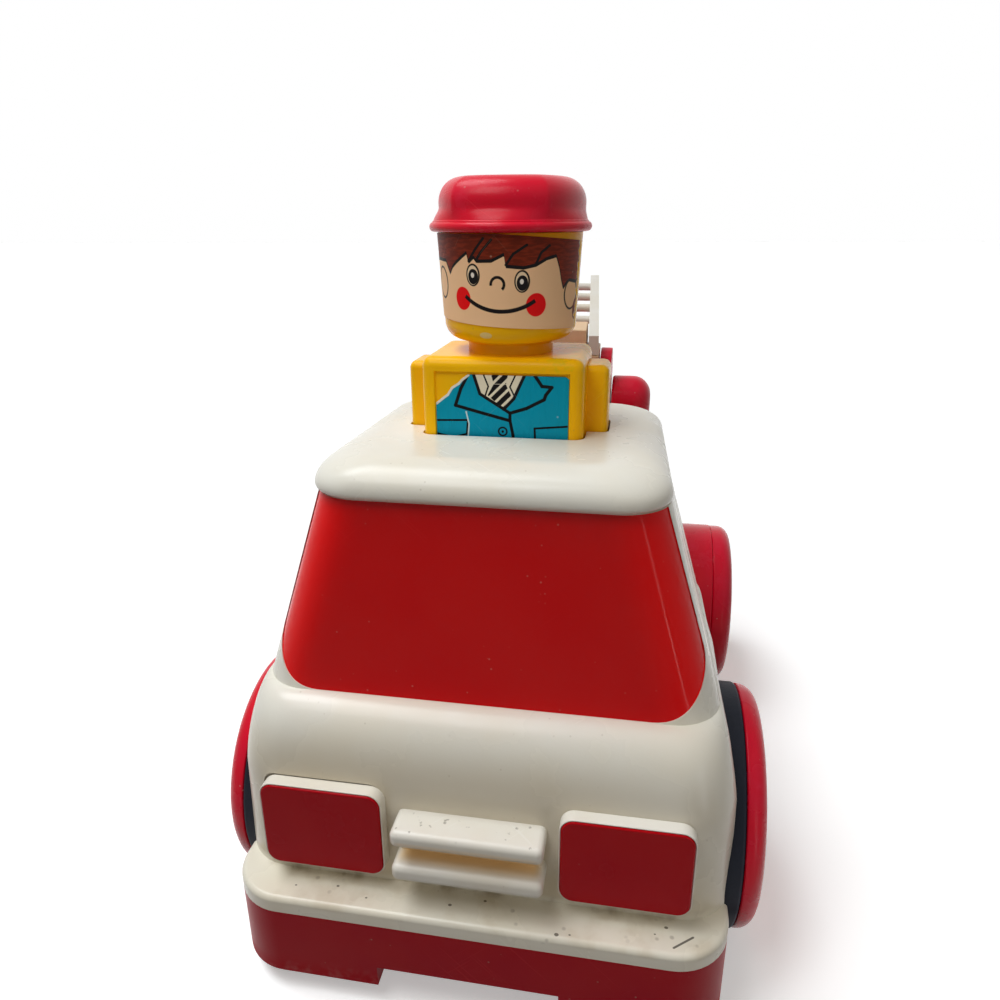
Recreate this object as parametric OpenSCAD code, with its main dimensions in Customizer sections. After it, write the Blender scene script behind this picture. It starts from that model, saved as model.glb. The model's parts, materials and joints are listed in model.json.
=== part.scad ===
// Toy fire truck with a press-down driver, a swivelling ladder and rubber-ringed drive wheels.
// The front of the truck faces -Y, the ground is Z = 0 and the mid plane is X = 0.
// Places along the truck are measured back from the front of the bumper.

/* [Overall] */
// Length from the front of the bumper to the tail
length = 220; // [212:1:240]
// Width of the red base at the bumper
base_w = 126; // [124:0.5:128]
// Clear height under the base
base_bottom = 6; // [4:0.5:8]
// Height of the joint between the base and the bodies on it
base_top = 26; // [24:0.5:27]
// Wall thickness of the moulded shells
wall = 2.4; // [2:0.1:3]
// Gap between pieces that sit loosely together
gap = 0.3; // [0.2:0.05:0.4]
// Radial play of a shaft in its bearing
play = 0.05; // [0.03:0.01:0.08]

/* [Cab] */
// Bumper front to the flat face of the cab
cab_face = 10.5; // [9:0.5:12]
// Bumper front to the back wall of the cab
cab_back = 107.5; // [105:0.5:109]
// Height of the bumper ledge above the base
ledge_h = 4.5; // [3.5:0.1:5.5]
// Width of the cab just above the ledge
cab_low_w = 129; // [127:0.5:130.5]
// Height where the face starts to curve back into the hood
belt_z = 58; // [56:0.5:60]
// Width of the cab at that height
belt_w = 126.4; // [122:0.2:128]
// Bumper front to the foot of the windscreen
foot_back = 21.5; // [19:0.5:24]
// Height of the windscreen's foot
foot_z = 78; // [76:0.5:82]
// Width of the cab at the windscreen's foot
foot_w = 117.2; // [113:0.2:119]
// Bumper front to the head of the windscreen
head_back = 28; // [26:0.5:33]
// Height of the windscreen's head
head_z = 127.6; // [124:0.1:130]
// Width of the cab at the windscreen's head
head_w = 86.6; // [82:0.2:92]
// How far the roof stands out over the windscreen
brow_out = 2; // [1:0.1:3]
// Height of the roof
roof_z = 137; // [135:0.5:139]
// How far the roof's round edge reaches in
roof_round = 10.5; // [8:0.5:12]
// Corner radius of the cab in plan, at the bumper
nose_r = 14; // [11:0.5:16]
// Corner radius of the cab in plan, at the windscreen's foot
glass_r = 9; // [8:0.5:12]
// Corner radius of the cab in plan, at the roof
brow_r = 12; // [10:0.5:15]

/* [Windscreen] */
// Radius of the windscreen's lower corners
window_r = 12; // [8:0.5:15]
// How far the glass ends short of the cab's side
window_side = 1.4; // [0.8:0.1:2]
// Overlap of the flange behind the opening
window_lap = 3; // [2:0.5:4]

/* [Headlights and grille] */
// Width of a red headlight
lamp_w = 29; // [24:0.5:31]
// Height of a red headlight
lamp_h = 22; // [18:0.5:24]
// Distance from the mid plane to a headlight's centre
lamp_x = 37.4; // [36:0.1:39]
// Height of a headlight's centre
lamp_z = 47.5; // [46:0.5:48]
// Width of the white rim round a headlight
rim_w = 1.3; // [1:0.1:2]
// How far a headlight stands off the cab's face
lamp_out = 3.5; // [2.5:0.1:5]
// Width of the grille
grille_w = 36; // [30:0.5:40]
// Height of the grille's lower edge
grille_z = 38.6; // [36:0.2:40]
// Height of the grille
grille_h = 17.5; // [16:0.5:18.5]
// How far the grille's lips stand off the cab's face
grille_out = 8.5; // [6:0.5:10]
// Thickness of a lip
lip_t = 4.6; // [3.5:0.1:5.5]

/* [Wheels] */
// Radius of a wheel
wheel_r = 33; // [31:0.5:33.5]
// Room between the rear body's side and a wheel
wheel_room = 4; // [3.5:0.5:6]
// Width of one front wheel
wheel_w = 21; // [19:0.5:22]
// Width of the cap on a front wheel's outer side
cap_w = 5.4; // [4:0.1:7]
// How much further out a rear wheel reaches than a front wheel
rear_out = 3.7; // [0:0.1:5]
// How much wider the cap on a rear wheel is than on a front wheel
rear_cap_more = 2.4; // [0:0.1:3]
// Bumper front to the front axle
front_axle_at = 52.5; // [51.5:0.5:54]
// Distance between the axles
wheelbase = 125; // [122:0.5:127]
// Radius of an axle
axle_r = 2.5; // [2:0.1:3]
// Thickness of the rubber ring on a front wheel
rubber_t = 2.6; // [2:0.1:3.5]
// Room between a wheel and its arch
arch_room = 2.3; // [1.5:0.1:3]

/* [Driver] */
// Bumper front to the driver's axis
driver_at = 71; // [70:0.5:72]
// Travel of the driver when pressed
press = 20; // [15:0.5:20]
// Width of the torso
torso_w = 42; // [39:0.5:44]
// Depth of the torso
torso_d = 31; // [29:0.5:33]
// Height of the shoulders
shoulder_z = 157.2; // [155:0.1:159]
// How far the side ribs stand out
rib_out = 5.8; // [4:0.1:7]
// Width of a side rib, front to back
rib_d = 13; // [10:0.5:16]
// Height of the ribs below the shoulders
rib_drop = 2.8; // [2:0.1:6]
// Radius of the head
head_r = 18.5; // [17.5:0.1:19]
// Radius of the neck
neck_r = 11.3; // [10.5:0.1:13]
// Height of the neck above the shoulders
neck_h = 3.3; // [2.5:0.1:5]
// Height of the head from chin to hat
head_h = 26.5; // [24:0.5:29]
// Height of the hat
hat_h = 13; // [12:0.5:17]
// How far the hat's brim stands out past the head
brim_out = 2.2; // [1.5:0.1:4]
// Thickness of the printed labels
label_t = 0.3; // [0.2:0.05:0.4]
// Angle that the face label covers to each side
label_half = 78; // [60:1:100]

/* [Drive] */
// Gear module
gear_m = 1; // [0.98:0.01:1.02]
// Teeth on the pinion that the driver's rack turns
pinion_n = 12; // [12:1:13]
// Teeth on the drive gear
drive_n = 28; // [26:1:29]
// Teeth on the gear that runs on the front axle
axle_n = 14; // [13:1:15]
// Width of a gear
gear_w = 5; // [4:0.5:5.5]
// Radius of the drive shaft
shaft_r = 2; // [1.5:0.1:2.5]
// Radius of the post that guides the driver
post_r = 4; // [3:0.1:4.2]
// Turns of the return spring
spring_turns = 8; // [6:1:10]
// Wire radius of the return spring
wire_r = 0.6; // [0.4:0.05:0.8]

/* [Rear body] */
// Width of the rear body at the base
rear_w = 94; // [92:0.5:96]
// Width of the rear body at its top
rear_top_w = 84; // [80:0.5:90]
// Height of the rear deck
deck_z = 105.5; // [102:0.5:106]
// Radius of the rear body's upper edges
deck_r = 8; // [5:0.5:10]

/* [Turntable and ladder] */
// Bumper front to the turntable's axis
turn_at = 149; // [148.5:0.5:155]
// Radius of the turntable
turn_r = 33; // [30:0.5:36]
// Height of the turntable
turn_h = 10; // [8:0.5:10.5]
// Radius of the turntable's hub in the deck
hub_r = 9; // [7:0.5:10]
// Height of the ladder's pivot above the turntable
pivot_up = 10.6; // [10.2:0.1:14]
// Width between the two ears
ear_inside = 41.2; // [38:0.2:44]
// Thickness of an ear
ear_t = 4; // [3:0.1:5]
// Depth of an ear, front to back
ear_d = 16; // [12:0.5:18]
// Height of an ear above the turntable
ear_h = 30; // [24:0.5:34]
// Radius of the ladder's pivot pin
pin_r = 3; // [2.5:0.1:3.5]
// Radius of a knob
knob_r = 9.3; // [7:0.1:9.8]
// Width of a knob
knob_w = 13.8; // [10:0.2:16]
// Length of the ladder's rails
rail_l = 72; // [60:1:76]
// Width of a rail
rail_w = 3.5; // [3:0.1:4.5]
// Height of a rail
rail_h = 7; // [5:0.5:9]
// Height of the rails' top above the pivot
rail_up = 27.2; // [25:0.2:30]
// How much the rails close in towards the ladder's tip, on each side
rail_taper = 4.4; // [0:0.1:5]
// Distance between rungs
rung_step = 13.5; // [10:0.5:16]
// Radius of a rung
rung_r = 1.5; // [1.2:0.1:2]
// Tilt of the ladder as it stands
tilt = 12.4; // [0:0.1:20]

/* [Hidden] */
$fn = 48;

// Colours of the mouldings
cream = "#EDEAD8";
red = "#B50F1E";
dark_red = "#8E0716";
yellow = "#EDB41E";
rubber = "#15141C";
white_part = "#E8E4D6";
metal = "#A9ADB3";
label_skin = "#E3C49A";
label_blue = "#0F7690";

// Places along the truck
front_y = -length / 2;
face_y = front_y + cab_face;
back_y = front_y + cab_back;
front_axle_y = front_y + front_axle_at;
rear_axle_y = front_axle_y + wheelbase;
driver_y = front_y + driver_at;
turn_y = front_y + turn_at;
tail_y = length / 2;
axle_z = wheel_r;
arch_r = wheel_r + arch_room;
eps = 0.01;

// Plain two-dimensional shapes
module round_rect(w, h, r) {
    square([w - 2 * r, h], center = true);
    square([w, h - 2 * r], center = true);
    for (x = [-1, 1], y = [-1, 1]) translate([x * (w / 2 - r), y * (h / 2 - r)]) circle(r);
}

// Draw a front view as a plate whose back lies at y and which is t thick towards the viewer
module front_plate(y, t) {
    translate([0, y, 0]) rotate([90, 0, 0]) linear_extrude(t) children();
}

// Draw a side view, whose first axis is Y and second is Z, from x and t wide
module side_plate(x, t) {
    translate([x, 0, 0]) rotate([90, 0, 90]) linear_extrude(t) children();
}

// A cylinder along X from x, at y and z
module x_rod(x, y, z, r, l) {
    translate([x, y, z]) rotate([0, 90, 0]) cylinder(r = r, h = l);
}

// A turned shape about an axis along X, drawn as radius and distance from the mid plane
module x_turned(side, y, z) {
    translate([0, y, z]) rotate([0, side * 90, 0]) rotate_extrude($fn = 96) children();
}

// Stacked plan outlines with round corners
// A level is height, half width, front, back, front corner radius and back corner radius
ring_steps = 7;
function corner(x, y, r, a) =
    [for (i = [0:ring_steps]) [x + r * cos(a + 90 * i / ring_steps), y + r * sin(a + 90 * i / ring_steps)]];
function outline(l) = concat(
    corner(l[1] - l[5], l[3] - l[5], l[5], 0), corner(l[5] - l[1], l[3] - l[5], l[5], 90),
    corner(l[4] - l[1], l[2] + l[4], l[4], 180), corner(l[1] - l[4], l[2] + l[4], l[4], 270));
module stack(levels) {
    n = 4 * (ring_steps + 1);
    top = len(levels) - 1;
    points = [for (l = levels) each [for (p = outline(l)) [p[0], p[1], l[0]]]];
    sides = [for (k = [0:top - 1], i = [0:n - 1]) let (a = k * n + i, b = k * n + (i + 1) % n)
        each [[a, b + n, b], [a, a + n, b + n]]];
    polyhedron(points, concat([[for (i = [0:n - 1]) i]], sides, [[for (i = [n - 1:-1:0]) top * n + i]]));
}

// The cab's outer form, or the same form drawn in by d
hood_angles = [0:15:90];
roof_angles = [0:15:90];
back_r = 10;
roof_h = roof_z - head_z;
function mix(a, b, u) = a + (b - a) * u;
function cab_level(z, w, f, b, r, d) =
    [z, w / 2 - d, front_y + f + d, front_y + b - d, max(r - d, 1), max(back_r - d, 1)];
function cab_levels(d) = concat(
    [cab_level(base_top - (d > 0 ? 2 * wall : 0), cab_low_w, cab_face, cab_back, nose_r, d)],
    [for (t = hood_angles) cab_level(mix(belt_z, foot_z, sin(t)) - (t > 0 ? d * sin(t) : 0),
        mix(belt_w, foot_w, 1 - cos(t)), mix(cab_face, foot_back, 1 - cos(t)), cab_back,
        mix(nose_r, glass_r, 1 - cos(t)), d)],
    [cab_level(head_z - d, head_w, head_back, cab_back, brow_r, d)],
    [for (t = roof_angles) cab_level(head_z + gap + (roof_h - gap) * sin(t) - d,
        head_w - 2 * roof_round * (1 - cos(t)),
        head_back - (d > 0 ? 0 : brow_out) + roof_round * (1 - cos(t)),
        cab_back - roof_round * (1 - cos(t)), brow_r, d)]);
module cab_form(d = 0) {
    stack(cab_levels(d));
}

// The bumper ledge round the cab's foot
ledge_lip = 3.2;
module ledge_form(d = 0) {
    stack(concat(
        [[base_top - (d > 0 ? wall : 0), base_w / 2 - d, front_y + d, back_y - d, nose_r - d, back_r - d]],
        [for (t = [0:18:90]) let (in = d + ledge_lip * (1 - cos(t)))
            [base_top + ledge_h - d - ledge_lip * (1 - sin(t)), base_w / 2 - in, front_y + in, back_y - d,
            nose_r - in, back_r - d]]));
}

// The windscreen's outline from the front, drawn out by d
function cab_half(z) = mix(foot_w, head_w, (z - foot_z) / (head_z - foot_z)) / 2;
window_low = foot_z + 0.5;
module window_outline(d) {
    low = window_low - d;
    hull() {
        for (s = [-1, 1]) {
            translate([s * (cab_half(low + window_r) - window_side + d - window_r), low + window_r])
                circle(window_r, $fn = 40);
            translate([s * (cab_half(head_z) - window_side + d - 0.5), head_z - 0.5]) circle(0.5, $fn = 16);
        }
    }
}
module window_prism(d) {
    front_plate(front_y + head_back + brow_r + roof_round, cab_face + head_back + brow_r) window_outline(d);
}

// The slot that keys the driver to the roof, drawn out by d
module driver_section(d) {
    round_rect(torso_w + 2 * d, torso_d + 2 * d, 3);
    round_rect(torso_w + 2 * rib_out + 2 * d, rib_d + 2 * d, 2);
}

// Screws that hold the cab and the rear body on the base
screw_r = 1.5;
screw_head_r = 3;
screw_head_h = 2;
screw_l = 17;
boss_r = 4.6;
boss_in = 12;
boss_x = rear_w / 2 - boss_in;
screw_seat_z = base_bottom + 11;
cab_boss_at = [19, cab_back - wall - boss_r - 1];
rear_boss_at = [cab_back + 6.5, length - 9];
boss_foot = base_top - 6;

module boss(y, top) {
    difference() {
        translate([0, y, boss_foot]) cylinder(r = boss_r, h = top - boss_foot);
        translate([0, y, boss_foot - 1]) cylinder(r = screw_r + play, h = screw_l + 2);
    }
}

// Cab
peg_r = 2;
peg_l = wall + 2;
module face_pegs(d, l) {
    for (s = [-1, 1]) {
        for (x = [-1, 1]) translate([s * lamp_x + x * lamp_w / 4, face_y + l, lamp_z]) rotate([90, 0, 0])
            cylinder(r = peg_r + d, h = l + 1, $fn = 24);
        translate([s * grille_w / 3, face_y + l, grille_z + grille_h / 2]) rotate([90, 0, 0])
            cylinder(r = peg_r + d, h = l + 1, $fn = 24);
    }
}
module cab_bosses() {
    for (x = [-1, 1]) {
        translate([x * boss_x, 0, 0]) boss(front_y + cab_boss_at[0], belt_z - 6);
        translate([x * boss_x, 0, 0]) boss(front_y + cab_boss_at[1], belt_z);
        translate([x * boss_x - 1, face_y + wall / 2, base_top + ledge_h])
            cube([2, cab_boss_at[0] - cab_face - wall / 2 - boss_r + 0.5, belt_z - 12 - base_top - ledge_h]);
        translate([x * boss_x - 1, front_y + cab_boss_at[1] + boss_r - 0.5, base_top + ledge_h])
            cube([2, cab_back - cab_boss_at[1] - boss_r - wall / 2 + 0.5, belt_z - 6 - base_top - ledge_h]);
    }
}
wheel_in = rear_w / 2 + wheel_room;
wheel_span = 2 * (wheel_in + wheel_w);
arch_in = wheel_in - 2.5;
module wheel_arches(y) {
    for (s = [-1, 1]) x_rod(s > 0 ? arch_in : -arch_in - 30, y, axle_z, arch_r, 30);
}
module cab_shell() {
    color(cream) {
        difference() {
            union() {
                cab_form();
                ledge_form();
            }
            cab_form(wall);
            ledge_form(wall);
            window_prism(0);
            wheel_arches(front_axle_y);
            translate([0, driver_y, roof_z - 2 * wall]) linear_extrude(3 * wall) driver_section(0.5);
            face_pegs(0.1, 2 * wall);
        }
        cab_bosses();
    }
}

// Windscreen, nearly flush outside and with a flange behind the opening
glass_sunk = 0.35;
flange_t = 1.6;
module windscreen() {
    color(red) union() {
        intersection() {
            difference() {
                cab_form(glass_sunk);
                cab_form(wall + flange_t);
            }
            window_prism(-0.25);
        }
        intersection() {
            difference() {
                cab_form(wall + play);
                cab_form(wall + flange_t);
            }
            window_prism(window_lap);
        }
    }
}

// Headlights
lamp_r = 3.6;
lamp_t = 2;
module headlight_bezel(side) {
    color(white_part) {
        difference() {
            front_plate(face_y, lamp_out) translate([side * lamp_x, lamp_z])
                round_rect(lamp_w + 2 * rim_w, lamp_h + 2 * rim_w, lamp_r + rim_w);
            front_plate(face_y - lamp_out + lamp_t, lamp_t + 1) translate([side * lamp_x, lamp_z])
                round_rect(lamp_w, lamp_h, lamp_r);
        }
        for (x = [-1, 1]) translate([side * lamp_x + x * lamp_w / 4, face_y + peg_l, lamp_z])
            rotate([90, 0, 0]) cylinder(r = peg_r, h = peg_l + 0.5, $fn = 24);
    }
}
module headlight(side) {
    color(red) front_plate(face_y - lamp_out + lamp_t, lamp_t) translate([side * lamp_x, lamp_z])
        round_rect(lamp_w - 0.2, lamp_h - 0.2, lamp_r - 0.1);
}

// Grille: a back plate with two lips
grille_plate_t = 2.5;
lip_r = 1.6;
module lip_view(z) {
    translate([face_y - grille_out + lip_r, z]) square([grille_out - lip_r, lip_t]);
    translate([face_y - grille_out, z + lip_r]) square([grille_out, lip_t - 2 * lip_r]);
    for (u = [lip_r, lip_t - lip_r]) translate([face_y - grille_out + lip_r, z + u]) circle(lip_r, $fn = 32);
}
module grille() {
    color(white_part) {
        side_plate(-grille_w / 2, grille_w) {
            translate([face_y - grille_plate_t, grille_z]) square([grille_plate_t, grille_h]);
            lip_view(grille_z + 0.6);
            lip_view(grille_z + grille_h - lip_t - 2.2);
        }
        for (s = [-1, 1]) translate([s * grille_w / 3, face_y + peg_l, grille_z + grille_h / 2])
            rotate([90, 0, 0]) cylinder(r = peg_r, h = peg_l + 0.5, $fn = 24);
    }
}

// Base pan
spine_w = rear_w;
nose_l = front_axle_at - arch_r;
board_w = 122;
tail_w = 118;
notch_w = 46;
notch_h = 6;
notch_d = 10;
floor_z = base_bottom + wall;
tab_t = 2.4;
tab_r = 8;
tab_x = spine_w / 2 - wall - 0.4 - tab_t;
module pan_plan(d) {
    translate([0, front_y + nose_l / 2 + nose_r / 2])
        intersection() {
            translate([0, nose_r / 2]) round_rect(base_w - 2 * d, nose_l + 2 * nose_r - 2 * d, nose_r - d);
            translate([-base_w, -nose_l]) square([2 * base_w, 1.5 * nose_l - nose_r / 2 - d]);
        }
    translate([d - spine_w / 2, front_y + nose_l / 2]) square([spine_w - 2 * d, length - nose_l / 2 - d]);
}
board_r = 3;
module side_boards(d) {
    r = max(board_r - d, 0.5);
    translate([0, (front_axle_y + rear_axle_y) / 2])
        round_rect(board_w - 2 * d, wheelbase - 2 * arch_r - 2 * d, r);
    translate([0, (rear_axle_y + arch_r + tail_y) / 2])
        round_rect(tail_w - 2 * d, tail_y - rear_axle_y - arch_r - 2 * d, r);
}
module bearing_tabs(y) {
    for (s = [-1, 1]) side_plate(s > 0 ? tab_x : -tab_x - tab_t, tab_t) {
        translate([y, axle_z]) circle(tab_r);
        translate([y - tab_r, base_bottom + wall / 2]) square([2 * tab_r, axle_z - base_bottom - wall / 2]);
    }
}
module screw_places() {
    for (x = [-1, 1], at = concat(cab_boss_at, rear_boss_at)) translate([x * boss_x, front_y + at, 0])
        children();
}
post_x = -5;
post_y = driver_y + 8.5;
post_boss_h = 5.5;
coil_r = post_r + 1.6;
plate_t = 2;
plate_gap = 21;
plate_x = [-plate_gap / 2 - plate_t + 0.5, plate_gap / 2 + 0.5];
foot_l = 7;
foot_t = 2.4;
foot_screw_at = [-9, 18];
small_screw_r = 1.3;
foot_boss_h = 4;
module foot_screw_places() {
    for (i = [0, 1], at = foot_screw_at)
        translate([i == 0 ? plate_x[0] - foot_l / 2 : plate_x[1] + plate_t + foot_l / 2,
            front_axle_y + at, 0])
            children();
}
module chassis() {
    color(dark_red) difference() {
        union() {
            difference() {
                translate([0, 0, base_bottom]) linear_extrude(base_top - base_bottom) {
                    pan_plan(0);
                    side_boards(0);
                }
                translate([0, 0, floor_z]) linear_extrude(base_top) pan_plan(wall);
                translate([0, 0, base_bottom - 1]) linear_extrude(base_top - base_bottom - wall + 1)
                    difference() {
                        side_boards(wall);
                        translate([-spine_w / 2, front_y]) square([spine_w, length]);
                    }
            }
            translate([-notch_w / 2 - wall, front_y + wall / 2, base_bottom])
                cube([notch_w + 2 * wall, notch_d + wall / 2, notch_h + wall]);
            bearing_tabs(front_axle_y);
            bearing_tabs(rear_axle_y);
            screw_places() translate([0, 0, base_bottom])
                cylinder(r = boss_r, h = boss_foot - base_bottom - gap);
            translate([post_x, post_y, floor_z - 1]) cylinder(r = post_r + 3, h = post_boss_h + 1);
            foot_screw_places() translate([0, 0, floor_z - 1]) cylinder(r = 3.4, h = foot_boss_h + 1);
        }
        translate([-notch_w / 2, front_y - 1, base_bottom - 1]) cube([notch_w, notch_d + 1, notch_h + 1]);
        for (y = [front_axle_y, rear_axle_y]) x_rod(-spine_w, y, axle_z, axle_r + play, 2 * spine_w);
        screw_places() {
            translate([0, 0, base_bottom - 1])
                cylinder(r = screw_head_r + gap, h = screw_seat_z - base_bottom + 1);
            cylinder(r = screw_r + 0.15, h = base_top);
        }
        translate([post_x, post_y, floor_z]) cylinder(r = post_r + play, h = base_top);
        foot_screw_places() translate([0, 0, floor_z]) cylinder(r = small_screw_r + play, h = base_top);
    }
}
module body_screws() {
    color(metal) screw_places() {
        translate([0, 0, screw_seat_z - screw_head_h]) cylinder(r = screw_head_r, h = screw_head_h);
        translate([0, 0, screw_seat_z - eps]) cylinder(r = screw_r, h = screw_l);
    }
}

// Rear body
rear_y = back_y + gap + 0.4;
rear_end_y = tail_y - 0.5;
rear_l = rear_end_y - rear_y;
rear_r = 8;
knee_z = 62;
module rear_view(d) {
    hw = rear_w / 2 - d;
    tw = rear_top_w / 2 - d;
    top = deck_z - d;
    r = max(deck_r - d, 1);
    polygon([[-hw, 0], [hw, 0], [hw, knee_z], [tw, top - r], [-tw, top - r], [-hw, knee_z]]);
    translate([-tw + r, top - r - eps]) square([2 * tw - 2 * r, r + eps]);
    for (s = [-1, 1]) translate([s * (tw - r), top - r]) circle(r);
}
module rear_side(d) {
    top = deck_z - d;
    r = max(deck_r - d, 1);
    translate([rear_y + d, 0]) square([rear_l - 2 * d, top - r]);
    translate([rear_y + d + r, 0]) square([rear_l - 2 * d - 2 * r, top]);
    for (y = [rear_y + d + r, rear_end_y - d - r]) translate([y, top - r]) circle(r);
}
module rear_form(d) {
    intersection() {
        front_plate(tail_y, length) rear_view(d);
        side_plate(-base_w, 2 * base_w) rear_side(d);
        translate([0, (rear_y + rear_end_y) / 2, base_top - (d > 0 ? 1 : 0)])
            linear_extrude(deck_z) round_rect(rear_w - 2 * d, rear_l - 2 * d, rear_r - d);
    }
}
module rear_body() {
    color(red) difference() {
        union() {
            difference() {
                rear_form(0);
                rear_form(wall);
            }
            for (x = [-1, 1], at = rear_boss_at) translate([x * boss_x, 0, 0]) {
                boss(front_y + at, belt_z);
                translate([x > 0 ? 0 : -rear_w / 2 + boss_x + wall / 2, front_y + at - 1, base_top])
                    cube([rear_w / 2 - boss_x - wall / 2, 2, belt_z - base_top - 6]);
            }
            translate([0, turn_y, deck_z - 2 * wall]) cylinder(r = hub_r + 4, h = wall + 1);
        }
        for (x = [-1, 1], at = rear_boss_at)
            translate([x * boss_x, front_y + at, 0])
                cylinder(r = screw_r + play, h = boss_foot + screw_l + 2);
        translate([0, turn_y, 0]) cylinder(r = hub_r + play, h = 2 * deck_z);
        x_rod(-rear_w, rear_axle_y, axle_z, axle_r + 1, 2 * rear_w);
        translate([-rear_w, rear_axle_y - axle_r - 1, 0]) cube([2 * rear_w, 2 * axle_r + 2, axle_z]);
    }
}

// Places and tooth form of the gears
pressure = 25;
addendum = 0.9 * gear_m;
dedendum = 1.2 * gear_m;
tooth_play = 0.24;
pinion_dy = 8.5;
gear_reach = gear_m * (drive_n + axle_n) / 2;
pinion_y = front_axle_y + pinion_dy;
pinion_z = axle_z + sqrt(gear_reach * gear_reach - pinion_dy * pinion_dy);
rack_low = pinion_z - 6;
rack_high = pinion_z + press + 6;
mesh_angle = atan2(axle_z - pinion_z, front_axle_y - pinion_y);

// Driver
torso_low = 92;
torso_r = 3.5;
flange_h = 3;
flange_out = 2;
stem_x = -8;
stem_w = 6;
tube_r = post_r + 2;
rack_pitch_y = front_axle_y + pinion_dy + pinion_n * gear_m / 2;
stem_back_y = post_y - coil_r - wire_r - 0.5;
tube_low = 66;
post_top = 104;
socket_r = 9;
socket_h = 7;
label_w = 35;
label_low = 112;
label_drop = 4;
label_sunk = 0.8;
module torso_form(d) {
    intersection() {
        translate([0, driver_y, torso_low - (d > 0 ? 1 : 0)]) linear_extrude(shoulder_z - torso_low - d)
            round_rect(torso_w - 2 * d, torso_d - 2 * d, torso_r - d / 2);
        front_plate(driver_y + torso_d, 2 * torso_d) translate([0, shoulder_z - d - 50])
            round_rect(torso_w - 2 * d, 100, torso_r);
        side_plate(-torso_w, 2 * torso_w) translate([driver_y, shoulder_z - d - 50])
            round_rect(torso_d - 2 * d, 100, torso_r);
    }
}
module rib_form() {
    rib_w = torso_w + 2 * rib_out;
    intersection() {
        translate([0, driver_y, torso_low]) linear_extrude(shoulder_z - rib_drop - torso_low)
            round_rect(rib_w, rib_d, 2);
        front_plate(driver_y + torso_d, 2 * torso_d) translate([0, shoulder_z - rib_drop - 50])
            round_rect(rib_w, 100, torso_r);
    }
}
module rack() {
    pitch = PI * gear_m;
    slope = tan(pressure);
    thin = pitch / 4 - tooth_play / 2;
    first = ceil((rack_low - pinion_z) / pitch);
    last = floor((rack_high - pinion_z) / pitch);
    side_plate(stem_x, stem_w) {
        for (k = [first:last]) translate([rack_pitch_y, pinion_z + (k + 0.5) * pitch])
            polygon([[-addendum, -thin + addendum * slope], [dedendum + 0.2, -thin - dedendum * slope],
                [dedendum + 0.2, thin + dedendum * slope], [-addendum, thin - addendum * slope]]);
        translate([rack_pitch_y + dedendum, rack_low - 2])
            square([stem_back_y - rack_pitch_y - dedendum, shoulder_z - wall - rack_low + 1]);
        translate([stem_back_y - 1, tube_low])
            square([post_y - stem_back_y, shoulder_z - wall - tube_low]);
    }
}
module driver_torso() {
    color(yellow) difference() {
        union() {
            difference() {
                union() {
                    torso_form(0);
                    rib_form();
                    translate([0, driver_y, roof_z - wall - gap - flange_h])
                        linear_extrude(flange_h) driver_section(0.5 + flange_out);
                }
                torso_form(wall);
            }
            rack();
            translate([post_x, post_y, tube_low]) cylinder(r = tube_r, h = shoulder_z - wall - tube_low);
            translate([0, driver_y, shoulder_z - socket_h - wall])
                cylinder(r = socket_r + wall, h = socket_h);
        }
        translate([post_x, post_y, tube_low - 1])
            cylinder(r = post_r + play, h = post_top + press + 4 - tube_low);
        translate([0, driver_y, shoulder_z - socket_h]) cylinder(r = socket_r + play, h = socket_h + 1);
        front_plate(driver_y - torso_d / 2 + label_sunk, 5)
            translate([-label_w / 2, label_low]) square([label_w, shoulder_z - label_drop - label_low]);
    }
}
module jacket_label() {
    color(label_blue) front_plate(driver_y - torso_d / 2 + label_sunk, label_t)
        translate([0.3 - label_w / 2, label_low + 0.3])
            square([label_w - 0.6, shoulder_z - label_drop - label_low - 0.6]);
}

// Head and hat, turned about the driver's axis
chin_z = shoulder_z + neck_h;
hat_z = chin_z + head_h;
chin_r = 4.5;
plug_r = head_r - 2;
plug_h = hat_h - wall - 1.5;
jaw_in = 1.2;
brim_h = 2.4;
module on_driver_axis(z) {
    translate([0, driver_y, z]) children();
}
module head_outline() {
    translate([0, shoulder_z - socket_h + gap]) square([socket_r, socket_h + eps]);
    translate([0, shoulder_z]) square([neck_r, neck_h + 1]);
    translate([0, chin_z]) square([head_r - jaw_in - chin_r, chin_r]);
    intersection() {
        translate([head_r - jaw_in - chin_r, chin_z + chin_r]) circle(chin_r);
        translate([0, chin_z]) square([head_r, chin_r]);
    }
    polygon([[0, chin_z + chin_r - eps], [head_r - jaw_in, chin_z + chin_r - eps], [head_r, hat_z],
        [0, hat_z]]);
    translate([0, hat_z - eps]) square([plug_r, plug_h]);
}
module driver_head() {
    color(yellow) on_driver_axis(0) rotate_extrude($fn = 96) difference() {
        head_outline();
        translate([0, chin_z + wall]) square([plug_r - wall, head_h + plug_h]);
    }
}
hat_round = 7;
hat_side_r = head_r + 0.6;
hat_top_r = head_r + 0.1;
module hat_outline() {
    polygon([[0, hat_z + brim_h / 2], [hat_side_r, hat_z + brim_h / 2],
        [hat_top_r, hat_z + hat_h - hat_round],
        [0, hat_z + hat_h - hat_round]]);
    translate([0, hat_z + hat_h - hat_round - eps]) square([hat_top_r - hat_round, hat_round + eps]);
    intersection() {
        translate([hat_top_r - hat_round, hat_z + hat_h - hat_round]) circle(hat_round);
        translate([0, hat_z + hat_h - hat_round - eps]) square([head_r * 2, hat_round + 1]);
    }
    translate([head_r + brim_out - brim_h / 2, hat_z + brim_h / 2 + gap / 2]) circle(brim_h / 2);
    translate([0, hat_z + gap / 2]) square([head_r + brim_out - brim_h / 2, brim_h]);
}
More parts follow.
